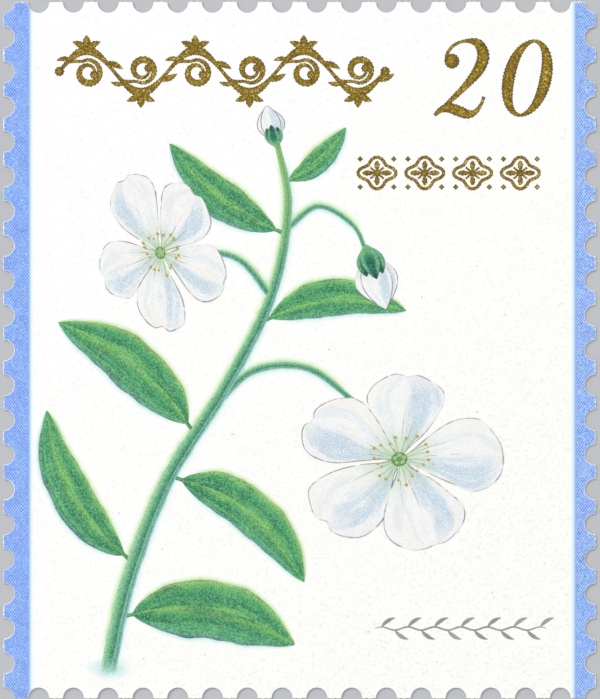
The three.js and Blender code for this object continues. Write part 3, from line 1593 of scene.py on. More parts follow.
@dataclass
class GoldNumber:
    """A plain slanted number in thick and thin strokes with ball ends."""

    left: float = 5.72
    foot: float = 10.06
    height: float = 3.34
    digit_width: float = 2.2
    digit_step: float = 2.68
    slant: float = 0.19
    hairline: float = 0.042  # a share of the height, as the next two are
    thick: float = 0.155
    ball: float = 0.095

    def placed(self, rows: Sequence[Row], index: int) -> Array:
        """Takes rows of a digit from its unit box to its place on the stamp.

        Args:
            rows: x, y and width, as shares of the box.
            index: which digit it is, from the left.

        Returns:
            The rows in millimetres.
        """
        x, y, width = np.array(rows, float).T
        across = self.left + index * self.digit_step + self.digit_width * x + self.slant * self.height * y
        return np.column_stack([across, self.foot + self.height * y, self.height * width])

    def two(self, film: Film, index: int) -> None:
        """Adds a two.

        Args:
            film: the film of gold ink.
            index: which digit it is, from the left.
        """
        thin, thick = self.hairline, self.thick
        bowl = [
            (0.07, 0.7, thin), (0.06, 0.82, thin), (0.17, 0.93, thin), (0.38, 0.98, 0.3 * thick),
            (0.62, 0.95, 0.75 * thick), (0.77, 0.8, thick), (0.74, 0.62, 0.95 * thick),
            (0.56, 0.42, 0.62 * thick), (0.3, 0.21, 0.4 * thick), (0.06, 0.03, thin),
        ]
        foot = [
            (0.04, 0.02, thin), (0.14, 0.09, 0.5 * thick), (0.3, 0.115, 0.8 * thick),
            (0.5, 0.075, 0.9 * thick), (0.68, 0.035, 0.75 * thick), (0.82, 0.06, 0.45 * thick),
            (0.91, 0.16, thin), (0.94, 0.26, thin),
        ]
        film.add(gold_stroke(self.placed(bowl, index)), GOLD_LEVEL)
        film.add(gold_stroke(self.placed(foot, index)), GOLD_LEVEL + 1)
        film.add(gold_dot(*self.placed([(0.18, 0.72, self.ball)], index)[0]), GOLD_LEVEL + 2)

    def nought(self, film: Film, index: int) -> None:
        """Adds a nought, thick on its two flanks and thin at its top and foot.

        Args:
            film: the film of gold ink.
            index: which digit it is, from the left.
        """
        squeeze = self.height / self.digit_width
        ring = []
        for turn in np.linspace(0, tau, 20, endpoint=False):
            width = self.hairline + (self.thick - self.hairline) * abs(cos(turn)) ** 1.3
            across, up = 0.48 - width * squeeze / 2, 0.5 - width / 2
            ring.append((0.5 + across * cos(turn), 0.5 + up * sin(turn), width))
        film.add(gold_stroke(self.placed(ring, index), closed=True), GOLD_LEVEL)

    def build(self) -> Piece:
        """Makes the number.

        Returns:
            The piece.
        """
        film = Film("gold_number")
        self.two(film, 0)
        self.nought(film, 1)
        return film.build()


@dataclass
class GoldScroll:
    """A running vine scroll: one long wave, with a curl and a small palmette in every arch."""

    left: float = -10.35
    middle: float = 12.02
    arches: int = 6
    arch_width: float = 2.34
    height: float = 0.9
    ball: float = 0.2  # radius of the balls at the wave's two ends
    curl_ball: float = 0.17  # and of the one at a curl's end

    def wave(self) -> Piece:
        """Makes the long wave, thick in its arches and thin between them, with a ball at each end.

        Returns:
            The piece.
        """
        film = Film("gold_wave")
        rows = []
        for share in np.linspace(0, self.arches, self.arches * 12 + 1):
            swing = sin(pi * share)
            x, y = self.left + self.arch_width * share, self.middle + self.height * swing
            rows.append((x, y, 0.15 + 0.24 * swing**2))
        film.add(gold_stroke(rows), GOLD_LEVEL)
        for share in (0, self.arches):
            film.add(gold_dot(self.left + self.arch_width * share, self.middle, self.ball), GOLD_LEVEL + 1)
        return film.build()

    def unit(self) -> Film:
        """Draws one arch's curl and palmette, with the arch's start at the origin.

        Returns:
            The film.
        """
        film = Film("gold_curls")
        span = self.arch_width
        x, y = 0.53 * span, -0.06
        curl = [(0.07 * span, 0.2, 0.08), (0.19 * span, 0.42, 0.15)]
        for share in np.linspace(0, 1, 15):
            turn = radians(122 - 500 * share)
            reach = 0.58 - 0.32 * share
            thick = 0.13 + 0.16 * sin(pi * min(1, share * 1.15)) ** 1.5
            curl.append((x + reach * cos(turn), y + reach * sin(turn), thick))
        film.add(gold_stroke(curl), GOLD_LEVEL + 2)
        film.add(gold_dot(curl[-1][0], curl[-1][1], self.curl_ball), GOLD_LEVEL + 3)
        crest = (span / 2, self.height + 0.04)
        late, early = ((span * place, self.height * sin(pi * place)) for place in (0.86, 0.2))
        for root, lean, reach, curve, width in (
            (crest, 90, 0.62, 0, 0.34),
            (crest, 134, 0.66, 0.2, 0.28),
            (crest, 46, 0.66, -0.2, 0.28),
            (late, -6, 0.74, -0.2, 0.25),
            (early, 166, 0.56, 0.2, 0.2),
        ):
            film.add(self.leaflet(root, lean, reach, curve, width), GOLD_LEVEL + 2)
        return film

    @staticmethod
    def leaflet(root: tuple[float, float], lean: float, reach: float, curve: float, width: float) -> Patch:
        """Draws a pointed leaflet that stands off the wave.

        Args:
            root: where it springs from.
            lean: its direction in degrees.
            reach: its length.
            curve: how far its tip bends to the left.
            width: its width at its middle.

        Returns:
            The leaflet.
        """
        out, left = axes(lean)
        rows = []
        for share, thick in ((0, 0.4), (0.25, 0.8), (0.5, 1.0), (0.75, 0.75), (1, 0.12)):
            spot = np.array(root) + out * reach * share + left * curve * share**2
            rows.append((*spot, thick * width))
        return gold_stroke(rows, columns=3)

    def curls(self, tree: Tree, material: Material) -> Piece:
        """Makes the curls by repeating one along the wave, every second one mirrored."""
        start = (self.left, self.middle)
        return in_a_row(self.unit(), tree, material, self.arches, self.arch_width, start, mirrored=True)


@dataclass
class GoldRosettes:
    """A row of small lobed rosettes with dots between their lobes."""

    first_x: float = 3.34
    middle: float = 7.64
    count: int = 4
    step: float = 2.06
    half_width: float = 0.9
    half_height: float = 0.75
    line: float = 0.14
    dip: float = 0.28  # how far the line dips between two lobes, as a share of its reach
    dot: float = 0.1  # radius of the dots between the lobes
    dot_place: float = 1.14  # and how far out they are, as a share of the rosette's size
    heart: float = 0.15  # radius of the dot in the middle

    # how far out, as a share of the rosette's size, and the width there
    petal = ((0.16, 0.08), (0.34, 0.2), (0.52, 0.22), (0.7, 0.08))
    spoke = ((0.16, 0.09), (0.3, 0.09), (0.46, 0.09))

    def lobed(self) -> Patch:
        """Draws the closed line of four lobes.

        Returns:
            The line.
        """
        rows = []
        for turn in np.linspace(0, tau, 40, endpoint=False):
            reach = 1 - self.dip * (0.5 - 0.5 * cos(4 * turn)) - self.line / 2 / self.half_height
            x, y = self.half_width * reach * cos(turn), self.half_height * reach * sin(turn)
            rows.append((x, y, self.line))
        return gold_stroke(rows, closed=True, columns=3)

    def unit(self) -> Film:
        """Draws one rosette about the origin.

        Returns:
            The film.
        """
        film = Film("gold_rosettes")
        film.add(self.lobed(), GOLD_LEVEL)
        for quarter in range(4):
            for turn, shape in ((0, self.petal), (pi / 4, self.spoke)):
                turn += pi / 2 * quarter
                x, y = self.half_width * cos(turn), self.half_height * sin(turn)
                rows = [(share * x, share * y, width) for share, width in shape]
                film.add(gold_stroke(rows, columns=3), GOLD_LEVEL + 1)
            film.add(gold_dot(x * self.dot_place, y * self.dot_place, self.dot), GOLD_LEVEL)
        film.add(gold_dot(0, 0, self.heart), GOLD_LEVEL + 2)
        return film

    def build(self, tree: Tree, material: Material) -> Piece:
        """Makes the row by repeating one rosette."""
        start = (self.first_x, self.middle)
        return in_a_row(self.unit(), tree, material, self.count, self.step, start)


@dataclass
class GreyGarland:
    """A thin grey garland of leaves in the lower right corner."""

    left: float = 3.25
    middle: float = -12.0
    count: int = 13
    step: float = 0.57
    line: float = 0.08  # width of the stalk

    # x, y and width along the rib of one leaf
    rib = ((0.0, 0.07, 0.04), (0.13, 0.22, 0.14), (0.3, 0.35, 0.17), (0.46, 0.43, 0.1), (0.6, 0.46, 0.02))

    @staticmethod
    def drawn(name: str, rows: Sequence[Row], level: float) -> Film:
        """Draws a grey line as a film of its own.

        Args:
            name: the film's name.
            rows: x, y and width along the line.
            level: its ink level.

        Returns:
            The film.
        """
        film = Film(name)
        film.add(ribbon(smooth(rows, 0.04), tone=0.9, columns=3), level)
        return film

    def stalk(self) -> Piece:
        """Makes the garland's long wavy stalk.

        Returns:
            The piece.
        """
        rows = []
        for share in np.linspace(0, self.count, self.count * 4 + 1):
            taper = 1 - 0.75 * abs(2 * share / self.count - 1) ** 8
            rise = 0.07 * sin(pi * share)
            rows.append((self.left + self.step * share, self.middle + rise, self.line * taper))
        return self.drawn("grey_stalk", rows, 1).build()

    def leaves(self, tree: Tree, material: Material) -> Piece:
        """Makes the garland's leaves by repeating one along the stalk, on alternate sides."""
        leaf, start = self.drawn("grey_leaves", self.rib, 2), (self.left + self.step / 2, self.middle)
        return in_a_row(leaf, tree, material, self.count, self.step, start, mirrored=True)


# The picture: a flowering twig

LIGHT = np.array([-0.45, 0.9])  # where the drawing's light comes from
PETAL_RISE = 1.5  # ink levels from one petal to the next
OUTLINE_RISE = 0.75  # from a petal to its outline
CREASE_RISE = 0.45  # and to the creases on it
PETAL_START = 0.05  # from the blossom's middle to a petal's base
LATTICE_STEP = 0.06  # between the points inside a petal, as a share of its reach
BORDER_STEP = 0.02  # between the points of a petal's outline, as a share of its reach


def lit_side(start: Row, end: Row) -> float:
    """Returns 1 if the left of a line from start to end faces the light, and -1 if its right does."""
    left = np.array([start[1] - end[1], end[0] - start[0]])
    return 1.0 if float(left @ LIGHT) > 0 else -1.0


@dataclass(frozen=True)
class Leaf:
    """One leaf: where it starts and ends, how it bends, and how wide it is."""

    base: tuple[float, float]
    tip: tuple[float, float]
    bend: float  # how far its middle stands to the left of a straight line
    width: float
    seed: int
    narrow: float = 1.0  # share of the width on its right half, less where it is seen from the side
    level: int = 3
    columns: int = 15
    stalk: float = 0.07  # share of its length
    stalk_width: float = 0.16

    def patch(self, fringe: float = 0.0) -> Patch:
        """Draws the leaf, or its fringe.

        Args:
            fringe: how far the fringe reaches past the leaf's edges, and 0 for the leaf itself.

        Returns:
            The leaf or the fringe.
        """
        base, tip = np.array(self.base), np.array(self.tip)
        straight = tip - base
        length = float(np.linalg.norm(straight))
        left = np.array([-straight[1], straight[0]]) / length
        middle = (base + tip) / 2 + left * self.bend
        arch = left * self.bend * 0.22
        rib = smooth([base, (base + middle) / 2 + arch, middle, (middle + tip) / 2 + arch, tip], 0.06)
        along = np.linspace(0, 1, len(rib))
        blade = ((along - self.stalk) / (1 - self.stalk)).clip(0, 1)
        shape = blade**0.74 * (1 - blade) ** 0.88
        half = self.width / 2 * shape / shape.max()
        slim = self.stalk_width / 2 * (1 - along) + 0.008
        grow = fringe * np.sqrt(np.sin(pi * along).clip(0, 1))
        halves = []
        for side, share in ((1, 1.0), (50, self.narrow)):
            wave = 1 + 0.09 * wander(along, 0.7, self.seed + side)
            fray = 0.013 * wander(along * length, 0.9, self.seed + side + 7) * np.sin(pi * blade)
            halves.append(np.maximum(half * share * wave + fray, slim))
        share = np.linspace(-1, 1, self.columns)
        own = np.where(share < 0, halves[1][:, None], halves[0][:, None])
        offset = (own + grow[:, None]) * share
        points = rib[:, None, :] + left_of(rib)[:, None, :] * offset[:, :, None]
        across = lit_side(self.base, self.tip) * share
        if fringe:
            return grid_patch(points, along * length, np.abs(offset) - own, across)
        return grid_patch(points, along, across, self.seed * 0.37)


@dataclass(frozen=True)
class Stem:
    """A stretch of twig or stalk: rows of x, y and width."""

    rows: tuple[tuple[float, float, float], ...]
    level: int = 4
    main: bool = False
    step: float = 0.12
    columns: int = 9

    def line(self) -> Array:
        """Draws the line that the stem follows, a little swollen in places.

        Returns:
            Rows of x, y and width.
        """
        line = smooth(self.rows, self.step)
        run = np.linspace(0, 1, len(line)) * len(line) * self.step
        line[:, 2] *= 1 + 0.07 * wander(run, 2.3, 5)
        return line

    def patch(self, fringe: float = 0.0) -> Patch:
        """Draws the stem, or its fringe.

        Args:
            fringe: how far the fringe reaches past the stem's edges, and 0 for the stem itself.

        Returns:
            The stem or the fringe.
        """
        line = self.line()
        half = np.repeat(line[:, 2] / 2, self.columns)
        line[:, 2] += 2 * fringe
        light = lit_side(self.rows[0], self.rows[-1])
        drawn = ribbon(line, tone=float(self.main), columns=self.columns, light=light)
        if fringe:
            along, across, _ = drawn.paint.T
            from_end = np.minimum(along, 1 - along) if self.main else 1 - along
            outward = np.abs(across) * (half + fringe) - half
            drawn.paint = np.column_stack([from_end * len(line) * self.step, outward, across])
        return drawn

    def repaint(self, fringe: Patch) -> None:
        """Paints a fringe by this stem's edge, wherever that is nearer than the edge it was painted by.

        Args:
            fringe: the fringe of any form.
        """
        line = self.line()
        away = fringe.points[:, None] - line[None, :, :2]
        distance = np.linalg.norm(away, axis=2)
        nearest = distance.argmin(axis=1)
        every = np.arange(len(nearest))
        half = line[nearest, 2] / 2
        outward = distance[every, nearest] - half
        aside = (away[every, nearest] * left_of(line)[nearest]).sum(axis=1)
        across = lit_side(self.rows[0], self.rows[-1]) * aside / (half + FRINGE_REACH)
        nearer = outward < fringe.paint[:, 1]
        fringe.paint[nearer, 1] = outward[nearer]
        fringe.paint[nearer, 2] = across[nearer]


@dataclass(frozen=True)
class Petal:
    """One rounded petal in its own plane: x runs from its base to its tip, and y to its left."""

    turn: float  # its direction in degrees in the blossom's plane
    reach: float
    plump: float  # share of the usual width
    tip: float  # where the middle of its tip is, less than 1 for a notch
    sway: float  # how far its tip stands to the left
    seed: int

    # distance along, and half width there, both as shares of the reach
    profile = (
        (0.0, 0.03), (0.12, 0.07), (0.3, 0.2), (0.5, 0.32),
        (0.68, 0.375), (0.83, 0.335), (0.94, 0.215), (0.985, 0.1),
    )

    def half(self, along: Array) -> Array:
        """Returns the half width at shares of the reach."""
        places, widths = zip(*self.profile)
        return np.interp(along, places, widths) * self.plump

    def laid(self, points: Array) -> Array:
        """Takes points in shares of the reach to the blossom's plane.

        Args:
            points: rows of x and y.

        Returns:
            Rows of x and y in millimetres, with the petal's sway and its direction.
        """
        both = axes(self.turn)
        bent = points.copy()
        bent[:, 1] += self.sway * points[:, 0] ** 2
        return bent * self.reach @ both + PETAL_START * both[0]

    def border(self) -> Array:
        """Draws the outline, a little uneven, from the base up the right side and back.

        Returns:
            Its points, in shares of the reach.
        """
        rng = np.random.default_rng(self.seed)
        right, left = (
            [(along, side * half * self.plump * rng.uniform(0.95, 1.05)) for along, half in self.profile]
            for side in (-1, 1)
        )
        return smooth([*right, (self.tip, 0.0), *reversed(left)], BORDER_STEP, closed=True)

    def paint(self, points: Array, light: float) -> Array:
        """Returns the paint coordinates: along, across towards the light, and the petal's own number."""
        across = (points[:, 1] / np.maximum(self.half(points[:, 0]), 0.02)).clip(-1.1, 1.1)
        return np.column_stack([points[:, 0], light * across, np.full(len(points), self.seed * 0.73)])


@dataclass(frozen=True)
class Blossom:
    """An open blossom of five petals, seen at a slant."""

    x: float
    y: float
    reach: float  # length of a petal seen face on
    turn: float  # degrees that the first petal is turned
    tilt: float  # share of its height that is left by the slant
    lean: float  # direction in degrees in which it is foreshortened
    seed: int
    level: int = 8
    petals: int = 5
    filaments: int = 19
    uneven: float = 0.42  # how much shorter the shortest filament may be

    def slanted(self, points: Array) -> Array:
        """Takes points from the blossom's own plane to their place on the stamp.

        Args:
            points: rows of x and y.

        Returns:
            Rows of x and y.
        """
        axis = axes(self.lean)[0]
        flat = points - np.outer(points @ axis, axis) * (1 - self.tilt)
        return flat + np.array([self.x, self.y])

    def petal(self, index: int, rng: np.random.Generator) -> Petal:
        """Shapes one petal a little unlike the others.

        Args:
            index: which petal it is.
            rng: the petal's own random numbers.

        Returns:
            The petal.
        """
        return Petal(
            turn=self.turn + 360 / self.petals * index + rng.uniform(-5, 5),
            reach=self.reach * rng.uniform(0.93, 1.05),
            plump=rng.uniform(0.96, 1.1),
            tip=rng.uniform(0.93, 1.0),
            sway=rng.uniform(-0.12, 0.12),
            seed=self.seed * 11 + index,
        )

    def add_to(self, petals: Film, lines: Film) -> None:
        """Adds the petals and their pencil outlines and creases to their films.

        Args:
            petals: the film of petals.
            lines: the film of pencil lines.
        """
        for index in range(self.petals):
            rng = np.random.default_rng(self.seed * 31 + index)
            petal = self.petal(index, rng)
            level = self.level + PETAL_RISE * index
            light = lit_side(*self.slanted(petal.laid(np.array([[0.0, 0.0], [1.0, 0.0]]))))
            border = petal.border()
            local = np.vstack([border, lattice_inside(border, LATTICE_STEP)])
            faces = filled(border, local[len(border):])
            placed = self.slanted(petal.laid(local))
            petals.add(Patch(placed, petal.paint(local, light), faces), level)
            run = np.arange(len(border)) * BORDER_STEP * self.reach
            rows = np.column_stack([placed[:len(border)], 0.034 + 0.02 * wander(run, 1.7, petal.seed)])
            tone = 0.35 + 0.3 * rng.random()
            lines.add(ribbon(rows, tone=tone, closed=True, columns=3), level + OUTLINE_RISE)
            for side in (-0.4, 0.02, 0.42):
                self.add_crease(lines, petal, side * rng.uniform(0.8, 1.2), level + CREASE_RISE)

    def add_crease(self, lines: Film, petal: Petal, side: float, level: float) -> None:
        """Adds a faint line from a petal's base along it.

        Args:
            lines: the film of pencil lines.
            petal: the petal.
            side: where it runs, as a share of the half width.
            level: its ink level.
        """
        along = np.linspace(0.12, 0.6 - 0.3 * abs(side), 20)
        crease = np.column_stack([along, side * petal.half(along) * (1.2 - 0.5 * along)])
        taper = np.sin(np.linspace(0.3, pi, len(along)))
        rows = np.column_stack([self.slanted(petal.laid(crease)), 0.008 + 0.022 * taper])
        lines.add(ribbon(smooth(rows, 0.06), tone=0.05, columns=3), level)

    def add_heart(self, hearts: Film) -> None:
        """Adds the green middle of the blossom, small knobs with a light and a dark side.

        Args:
            hearts: the film of green middles.
        """
        top = self.level + PETAL_RISE * self.petals + 3
        knobs = [(0.0, 0.0, 0.078, 1.0)]
        for turn in np.linspace(0, tau, self.petals, endpoint=False) + 0.4:
            x, y = 0.042 * cos(turn), 0.042 * sin(turn)
            knobs += [(x, y, 0.03, 0.85), (x + 0.003, y + 0.004, 0.022, 0.15)]
        knobs += [(0.0, 0.0, 0.03, 0.9), (0.002, 0.003, 0.021, 0.0)]
        for index, (x, y, radius, depth) in enumerate(knobs):
            heart = disc(x * self.reach, y * self.reach, radius * self.reach, 0.0, 20, 2)
            heart.paint[:, 0] = 0.3
            heart.paint[:, 2] = depth
            hearts.add(heart.mapped(self.slanted), top + 0.4 * index)

    def stamens(self, tree: Tree, material: Material) -> Piece:
        """Makes the ring of stamens, and slants it with the blossom.

        Args:
            tree: the tree that sets a figure in a ring.
            material: their finish.

        Returns:
            The piece.
        """
        film = Film("stamens")
        length = 0.3 * self.reach
        thread = [(0.14 * length, 0, 0.06), (0.6 * length, 0.03, 0.04), (length, 0.0, 0.035)]
        stalk = ribbon(smooth(thread, 0.05), columns=3)
        stalk.paint[:, 0] *= 0.75
        top = self.level + PETAL_RISE * self.petals
        film.add(stalk, top + 1)
        film.add(disc(length, 0, 0.08, 0.0, 10, 1), top + 2)
        values = {"Count": self.filaments, "Uneven": self.uneven, "Seed": self.seed, "Material": material}
        ring = grown(film.build(), tree, values)
        send(ring, lambda places: np.column_stack([self.slanted(places[:, :2]), places[:, 2]]))
        ring.name = f"stamens_{self.seed}"
        return ring


@dataclass(frozen=True)
class Bud:
    """A closed bud: overlapping petals out of a dark green cup."""

    x: float
    y: float
    reach: float
    heading: float  # degrees, from its cup to its tip
    seed: int
    level: int = 8
    columns: int = 11

    # start, end, width, bulge and splay of each scale, as shares of the bud's reach
    petal_scales = (
        (0.06, 0.95, 0.4, 0.16, 0.02),
        (0.06, 0.91, 0.4, -0.16, -0.03),
        (0.06, 1.0, 0.52, 0.0, 0.0),
    )
    cup_scales = (
        (-0.14, 0.4, 0.27, 0.07, 0.14),
        (-0.14, 0.37, 0.27, -0.07, -0.14),
        (-0.17, 0.46, 0.32, 0.0, 0.01),
    )

    def scale(self, start: float, end: float, width: float, bulge: float, splay: float) -> Patch:
        """Draws one pointed scale of the bud. Every length is a share of its reach.

        Args:
            start: where it starts along the bud's axis.
            end: where it ends.
            width: its greatest width.
            bulge: how far its middle stands to the left.
            splay: how far its tip stands to the left.

        Returns:
            The scale.
        """
        out, left = axes(self.heading)
        share = 0.5 - 0.5 * np.cos(np.linspace(0, pi, 30))
        aside = 4 * bulge * share * (1 - share) + splay * share**2
        half = np.maximum(width / 2 * np.sin(pi * share**0.85) ** 0.8, 0.005)
        columns = np.linspace(-1, 1, self.columns)
        offset = aside[:, None] + half[:, None] * columns
        rib = out * (start + (end - start) * share)[:, None]
        points = np.array([self.x, self.y]) + self.reach * (rib[:, None, :] + left * offset[:, :, None])
        return grid_patch(points, share, lit_side((0, 0), out) * columns, self.seed)

    def add_to(self, petals: Film, lines: Film, cups: Film) -> None:
        """Adds the bud's petals, their outlines and its green cup to their films.

        Args:
            petals: the film of petals.
            lines: the film of pencil lines.
            cups: the film of green cups.
        """
        for index, scale in enumerate(self.petal_scales):
            patch = self.scale(*scale)
            level = self.level + PETAL_RISE * index
            petals.add(patch, level)
            grid = patch.points.reshape(-1, self.columns, 2)
            width = 0.012 + 0.026 * np.sin(np.linspace(0.1, pi - 0.1, len(grid)))
            for side in (0, -1):
                edge = smooth(np.column_stack([grid[:, side], width]), 0.05)
                lines.add(ribbon(edge, tone=1.1, columns=3), level + OUTLINE_RISE)
        for index, scale in enumerate(self.cup_scales):
            cups.add(self.scale(*scale), self.level + 6 + index)


@dataclass
class FloweringTwig:
    """The picture: an arching twig with leaves, open blossoms and buds."""

    stems: tuple[Stem, ...] = (
        Stem(((-8.3, -14.0, 0.66), (-7.4, -10.0, 0.64), (-5.7, -5.6, 0.58), (-3.2, -1.6, 0.5),
              (-1.2, 2.4, 0.42), (-0.5, 6.2, 0.34), (-1.0, 9.1, 0.24)), level=5, main=True),
        Stem(((-3.9, -2.6, 0.34), (-2.0, -0.9, 0.3), (0.4, -0.8, 0.28), (2.6, -2.4, 0.26))),
        Stem(((-1.2, 2.3, 0.3), (-2.6, 3.9, 0.26), (-4.6, 4.4, 0.24))),
        Stem(((-0.6, 5.2, 0.26), (0.8, 6.2, 0.22), (2.3, 5.4, 0.2), (2.9, 4.2, 0.2))),
    )
    leaves: tuple[Leaf, ...] = (
        Leaf((-7.75, -11.5), (-0.2, -12.7), 0.9, 2.6, 1),
        Leaf((-7.15, -9.2), (-10.9, -2.6), 0.8, 2.0, 2, narrow=0.8),
        Leaf((-5.6, -5.4), (0.2, -10.0), 0.8, 2.3, 3, narrow=0.7),
        Leaf((-4.5, -3.6), (-10.4, 1.2), -0.6, 2.2, 4),
        Leaf((-1.7, 1.2), (4.6, 1.7), 0.7, 1.8, 5, narrow=0.75),
        Leaf((-0.6, 5.0), (-5.6, 8.9), 0.5, 1.6, 6),
        Leaf((-0.7, 7.2), (2.0, 9.6), -0.3, 1.0, 7),
    )
    blossoms: tuple[Blossom, ...] = (
        Blossom(4.3, -4.7, 4.5, 80, 0.86, 100, 1),
        Blossom(-6.0, 4.2, 3.4, 50, 0.8, 20, 2),
    )
    buds: tuple[Bud, ...] = (
        Bud(2.95, 4.15, 2.5, -72, 3),
        Bud(-1.05, 9.0, 1.6, 104, 4),
    )
    wash_spare: float = 1.5  # how much wider the wash's film is than its tint

    def foot_wash(self) -> Film:
        """Draws the wash round the twig's foot, whose tint doesn't reach the film's rim.

        Returns:
            The film.
        """
        film = Film("foot_wash")
        size = np.array([self.wash_spare, 1.0]) * FOOT_WASH_HALF
        film.add(disc(0.0, 0.0, 1.0, 0.0, 48, 6).mapped(lambda points: points * size + FOOT_WASH_MIDDLE))
        return film

    def build_greens(self) -> tuple[Film, Film, Film]:
        """Draws the stems, the leaves and the fringe beside them, the main stem's over all others.

        Returns:
            The films of the stems, the leaves and the fringe.
        """
        stems, leaves, fringe = Film("twig"), Film("leaves"), Film("plate_fringe")
        for stem in self.stems:
            stems.add(stem.patch(), stem.level)
        for leaf in self.leaves:
            leaves.add(leaf.patch(), leaf.level)
        for form in (*self.leaves, *reversed(self.stems)):
            drawn = form.patch(FRINGE_REACH)
            for stem in self.stems:
                stem.repaint(drawn)
            fringe.add(drawn, FRINGE_LEVEL)
        return stems, leaves, fringe

    def build(self, finishes: dict[str, Material], ring: Tree) -> None:
        """Makes every piece of the picture.

        Args:
            finishes: finish name to material.
            ring: the tree that sets stamens in a ring.
        """
        stems, leaves, fringe = self.build_greens()
        petals, lines, cups, hearts = Film("petals"), Film("pencil_lines"), Film("bud_cups"), Film("hearts")
        for blossom in self.blossoms:
            blossom.add_to(petals, lines)
            blossom.add_heart(hearts)
        for bud in self.buds:
            bud.add_to(petals, lines, cups)
        for film, finish, slot in (
            (self.foot_wash(), "wash", "leaf_ink"),
            (fringe, "fringe", "leaf_ink"),
            (stems, "stem", "leaf_ink"),
            (leaves, "leaf", "leaf_ink"),
            (cups, "cup", "leaf_ink"),
            (petals, "petal", "petal_ink"),
            (lines, "line", "grey_ink"),
            (hearts, "pollen", "pollen_ink"),
        ):
            hand_over(film.build(), finishes[finish])
        for blossom in self.blossoms:
            hand_over(blossom.stamens(ring, finishes["pollen"]), finishes["pollen"])


# The studio


@dataclass
class Studio:
    """A pale floor, soft even light and a camera that looks straight down, as a scanner does."""

    lens: float = 150.0
    sensor: float = 36.0
    frame_height: float = 30.14  # millimetres of the stamp's plane that the picture's height takes in
    middle_x: float = 0.02
    middle_y: float = 0.03
    floor_reach: float = 1.5  # metres
    floor_level: float = -0.002
    sky: float = 0.797
    key_power: float = 6.6
    key_size: float = 0.6
    key_place: tuple[float, float, float] = (-0.56, 0.6, 0.9)

    def build(self, floor_finish: Material) -> None:
        """Makes the floor, the light and the camera.

        Args:
            floor_finish: the floor's material.
        """
        self.floor(floor_finish)
        self.light()
        self.camera()

    def floor(self, finish: Material) -> None:
        """Lays the floor just under the stamp.

        Args:
            finish: its material.
        """
        reach, level = self.floor_reach, self.floor_level * MM
        corners = [(reach * x, reach * y, level) for x, y in ((-1, -1), (1, -1), (1, 1), (-1, 1))]
        mesh = bpy.data.meshes.new("floor")
        mesh.from_pydata(corners, [], [(0, 1, 2, 3)])
        mesh.materials.append(finish)
        made = bpy.data.objects.new("floor", mesh)
        bpy.context.scene.collection.objects.link(made)

    def light(self) -> None:
        """Sets a white sky and one large soft lamp from the upper left."""
        scene = bpy.context.scene
        scene.view_settings.view_transform = "Standard"
        world = bpy.data.worlds.new("sky")
        world.use_nodes = True
        background = world.node_tree.nodes["Background"]
        background.inputs["Color"].default_value = (1.0, 1.0, 1.0, 1.0)
        background.inputs["Strength"].default_value = self.sky
        scene.world = world
        lamp = bpy.data.lights.new("key", "AREA")
        lamp.shape = "DISK"
        lamp.size = self.key_size
        lamp.energy = self.key_power
        made = bpy.data.objects.new("key", lamp)
        made.location = self.key_place
        made.rotation_euler = (-Vector(made.location)).to_track_quat("-Z", "Y").to_euler()
        scene.collection.objects.link(made)

    def camera(self) -> None:
        """Sets the camera over the stamp at a distance that gives the picture its frame."""
        scene = bpy.context.scene
        data = bpy.data.cameras.new("camera")
        data.lens = self.lens
        data.sensor_width = self.sensor
        distance = self.frame_height * self.lens / self.sensor
        data.clip_start = 0.01
        data.clip_end = 10.0
        made = bpy.data.objects.new("camera", data)
        made.location = (self.middle_x * MM, self.middle_y * MM, (SHEET_THICKNESS + distance) * MM)
        scene.collection.objects.link(made)
        scene.camera = made


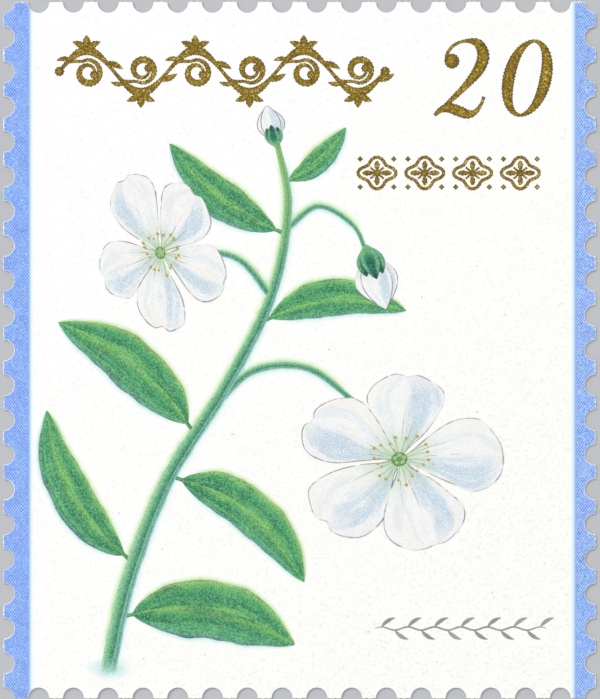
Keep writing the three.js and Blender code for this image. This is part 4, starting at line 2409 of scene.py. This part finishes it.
def finishes_for(effects: SharedEffects) -> dict[str, Material]:
    """Builds every finish.

    Args:
        effects: the shared shader groups.

    Returns:
        Finish name to material.
    """
    made = {
        "paper": PaperFinish("coated_paper", relief=0.3),
        "fibre": PaperFinish("torn_paper", roughness=0.85, specular=0.1, relief=0.0),
        "gum": GumFinish("dried_gum", roughness=0.3, specular=0.5, relief=0.6),
        "band_left": BandInkFinish("blue_ink_left"),
        "band_right": BandInkFinish(
            "blue_ink_right", fade=0.225, middle=(159, 197, 255), deep=(88, 136, 230),
            screen=1.25, specks=0.62,
        ),
        "gold": GoldInkFinish("gold_ink", roughness=0.5, metallic=0.35, relief=0.8),
        "leaf": LeafInkFinish("leaf_ink"),
        "cup": CupInkFinish("cup_ink"),
        "wash": WashFinish("foot_wash"),
        "stem": StemInkFinish("stem_ink"),
        "petal": PetalInkFinish("petal_ink"),
        "line": LineInkFinish("pencil_ink"),
        "grey": LineInkFinish(
            "grey_ink", dark=(148, 148, 148), warm=(152, 150, 146), pale=(196, 196, 194), breaks=0.4
        ),
        "fringe": FringeFinish("plate_fringe"),
        "pollen": PollenInkFinish("pollen_ink"),
        "floor": FloorFinish("tabletop", roughness=0.8, relief=0.0),
    }
    return {name: finish.material(effects) for name, finish in made.items()}


def main() -> None:
    """Builds the stamp's visible pieces in order, then the studio."""
    logging.basicConfig(level=logging.INFO, format="%(message)s")
    finishes = finishes_for(SharedEffects())
    row, ring, fibres = row_tree(), ring_tree(), fibre_tree()

    sheet = StampSheet()
    paper = hand_over(sheet.build(), finishes["paper"])
    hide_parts(SHEET_NODE)
    hand_over(TornFibres().build(fibres, finishes["fibre"]), finishes["fibre"])
    hand_over(GumCoat().build(sheet.inner_points()), finishes["gum"])

    hand_over(MarginBand(Side.LEFT, 11.66, 0.21).build(), finishes["band_left"])
    hand_over(MarginBand(Side.RIGHT, 11.892, 0.25).build(), finishes["band_right"])

    scroll, garland, gold, grey = GoldScroll(), GreyGarland(), finishes["gold"], finishes["grey"]
    hand_over(scroll.wave(), gold)
    hand_over(scroll.curls(row, gold), gold)
    hand_over(GoldNumber().build(), gold)
    hand_over(GoldRosettes().build(row, gold), gold)
    hand_over(garland.stalk(), grey)
    hand_over(garland.leaves(row, grey), grey)
    FloweringTwig().build(finishes, ring)
    Studio().build(finishes["floor"])

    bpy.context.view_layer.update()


if __name__ == "__main__":
    main()
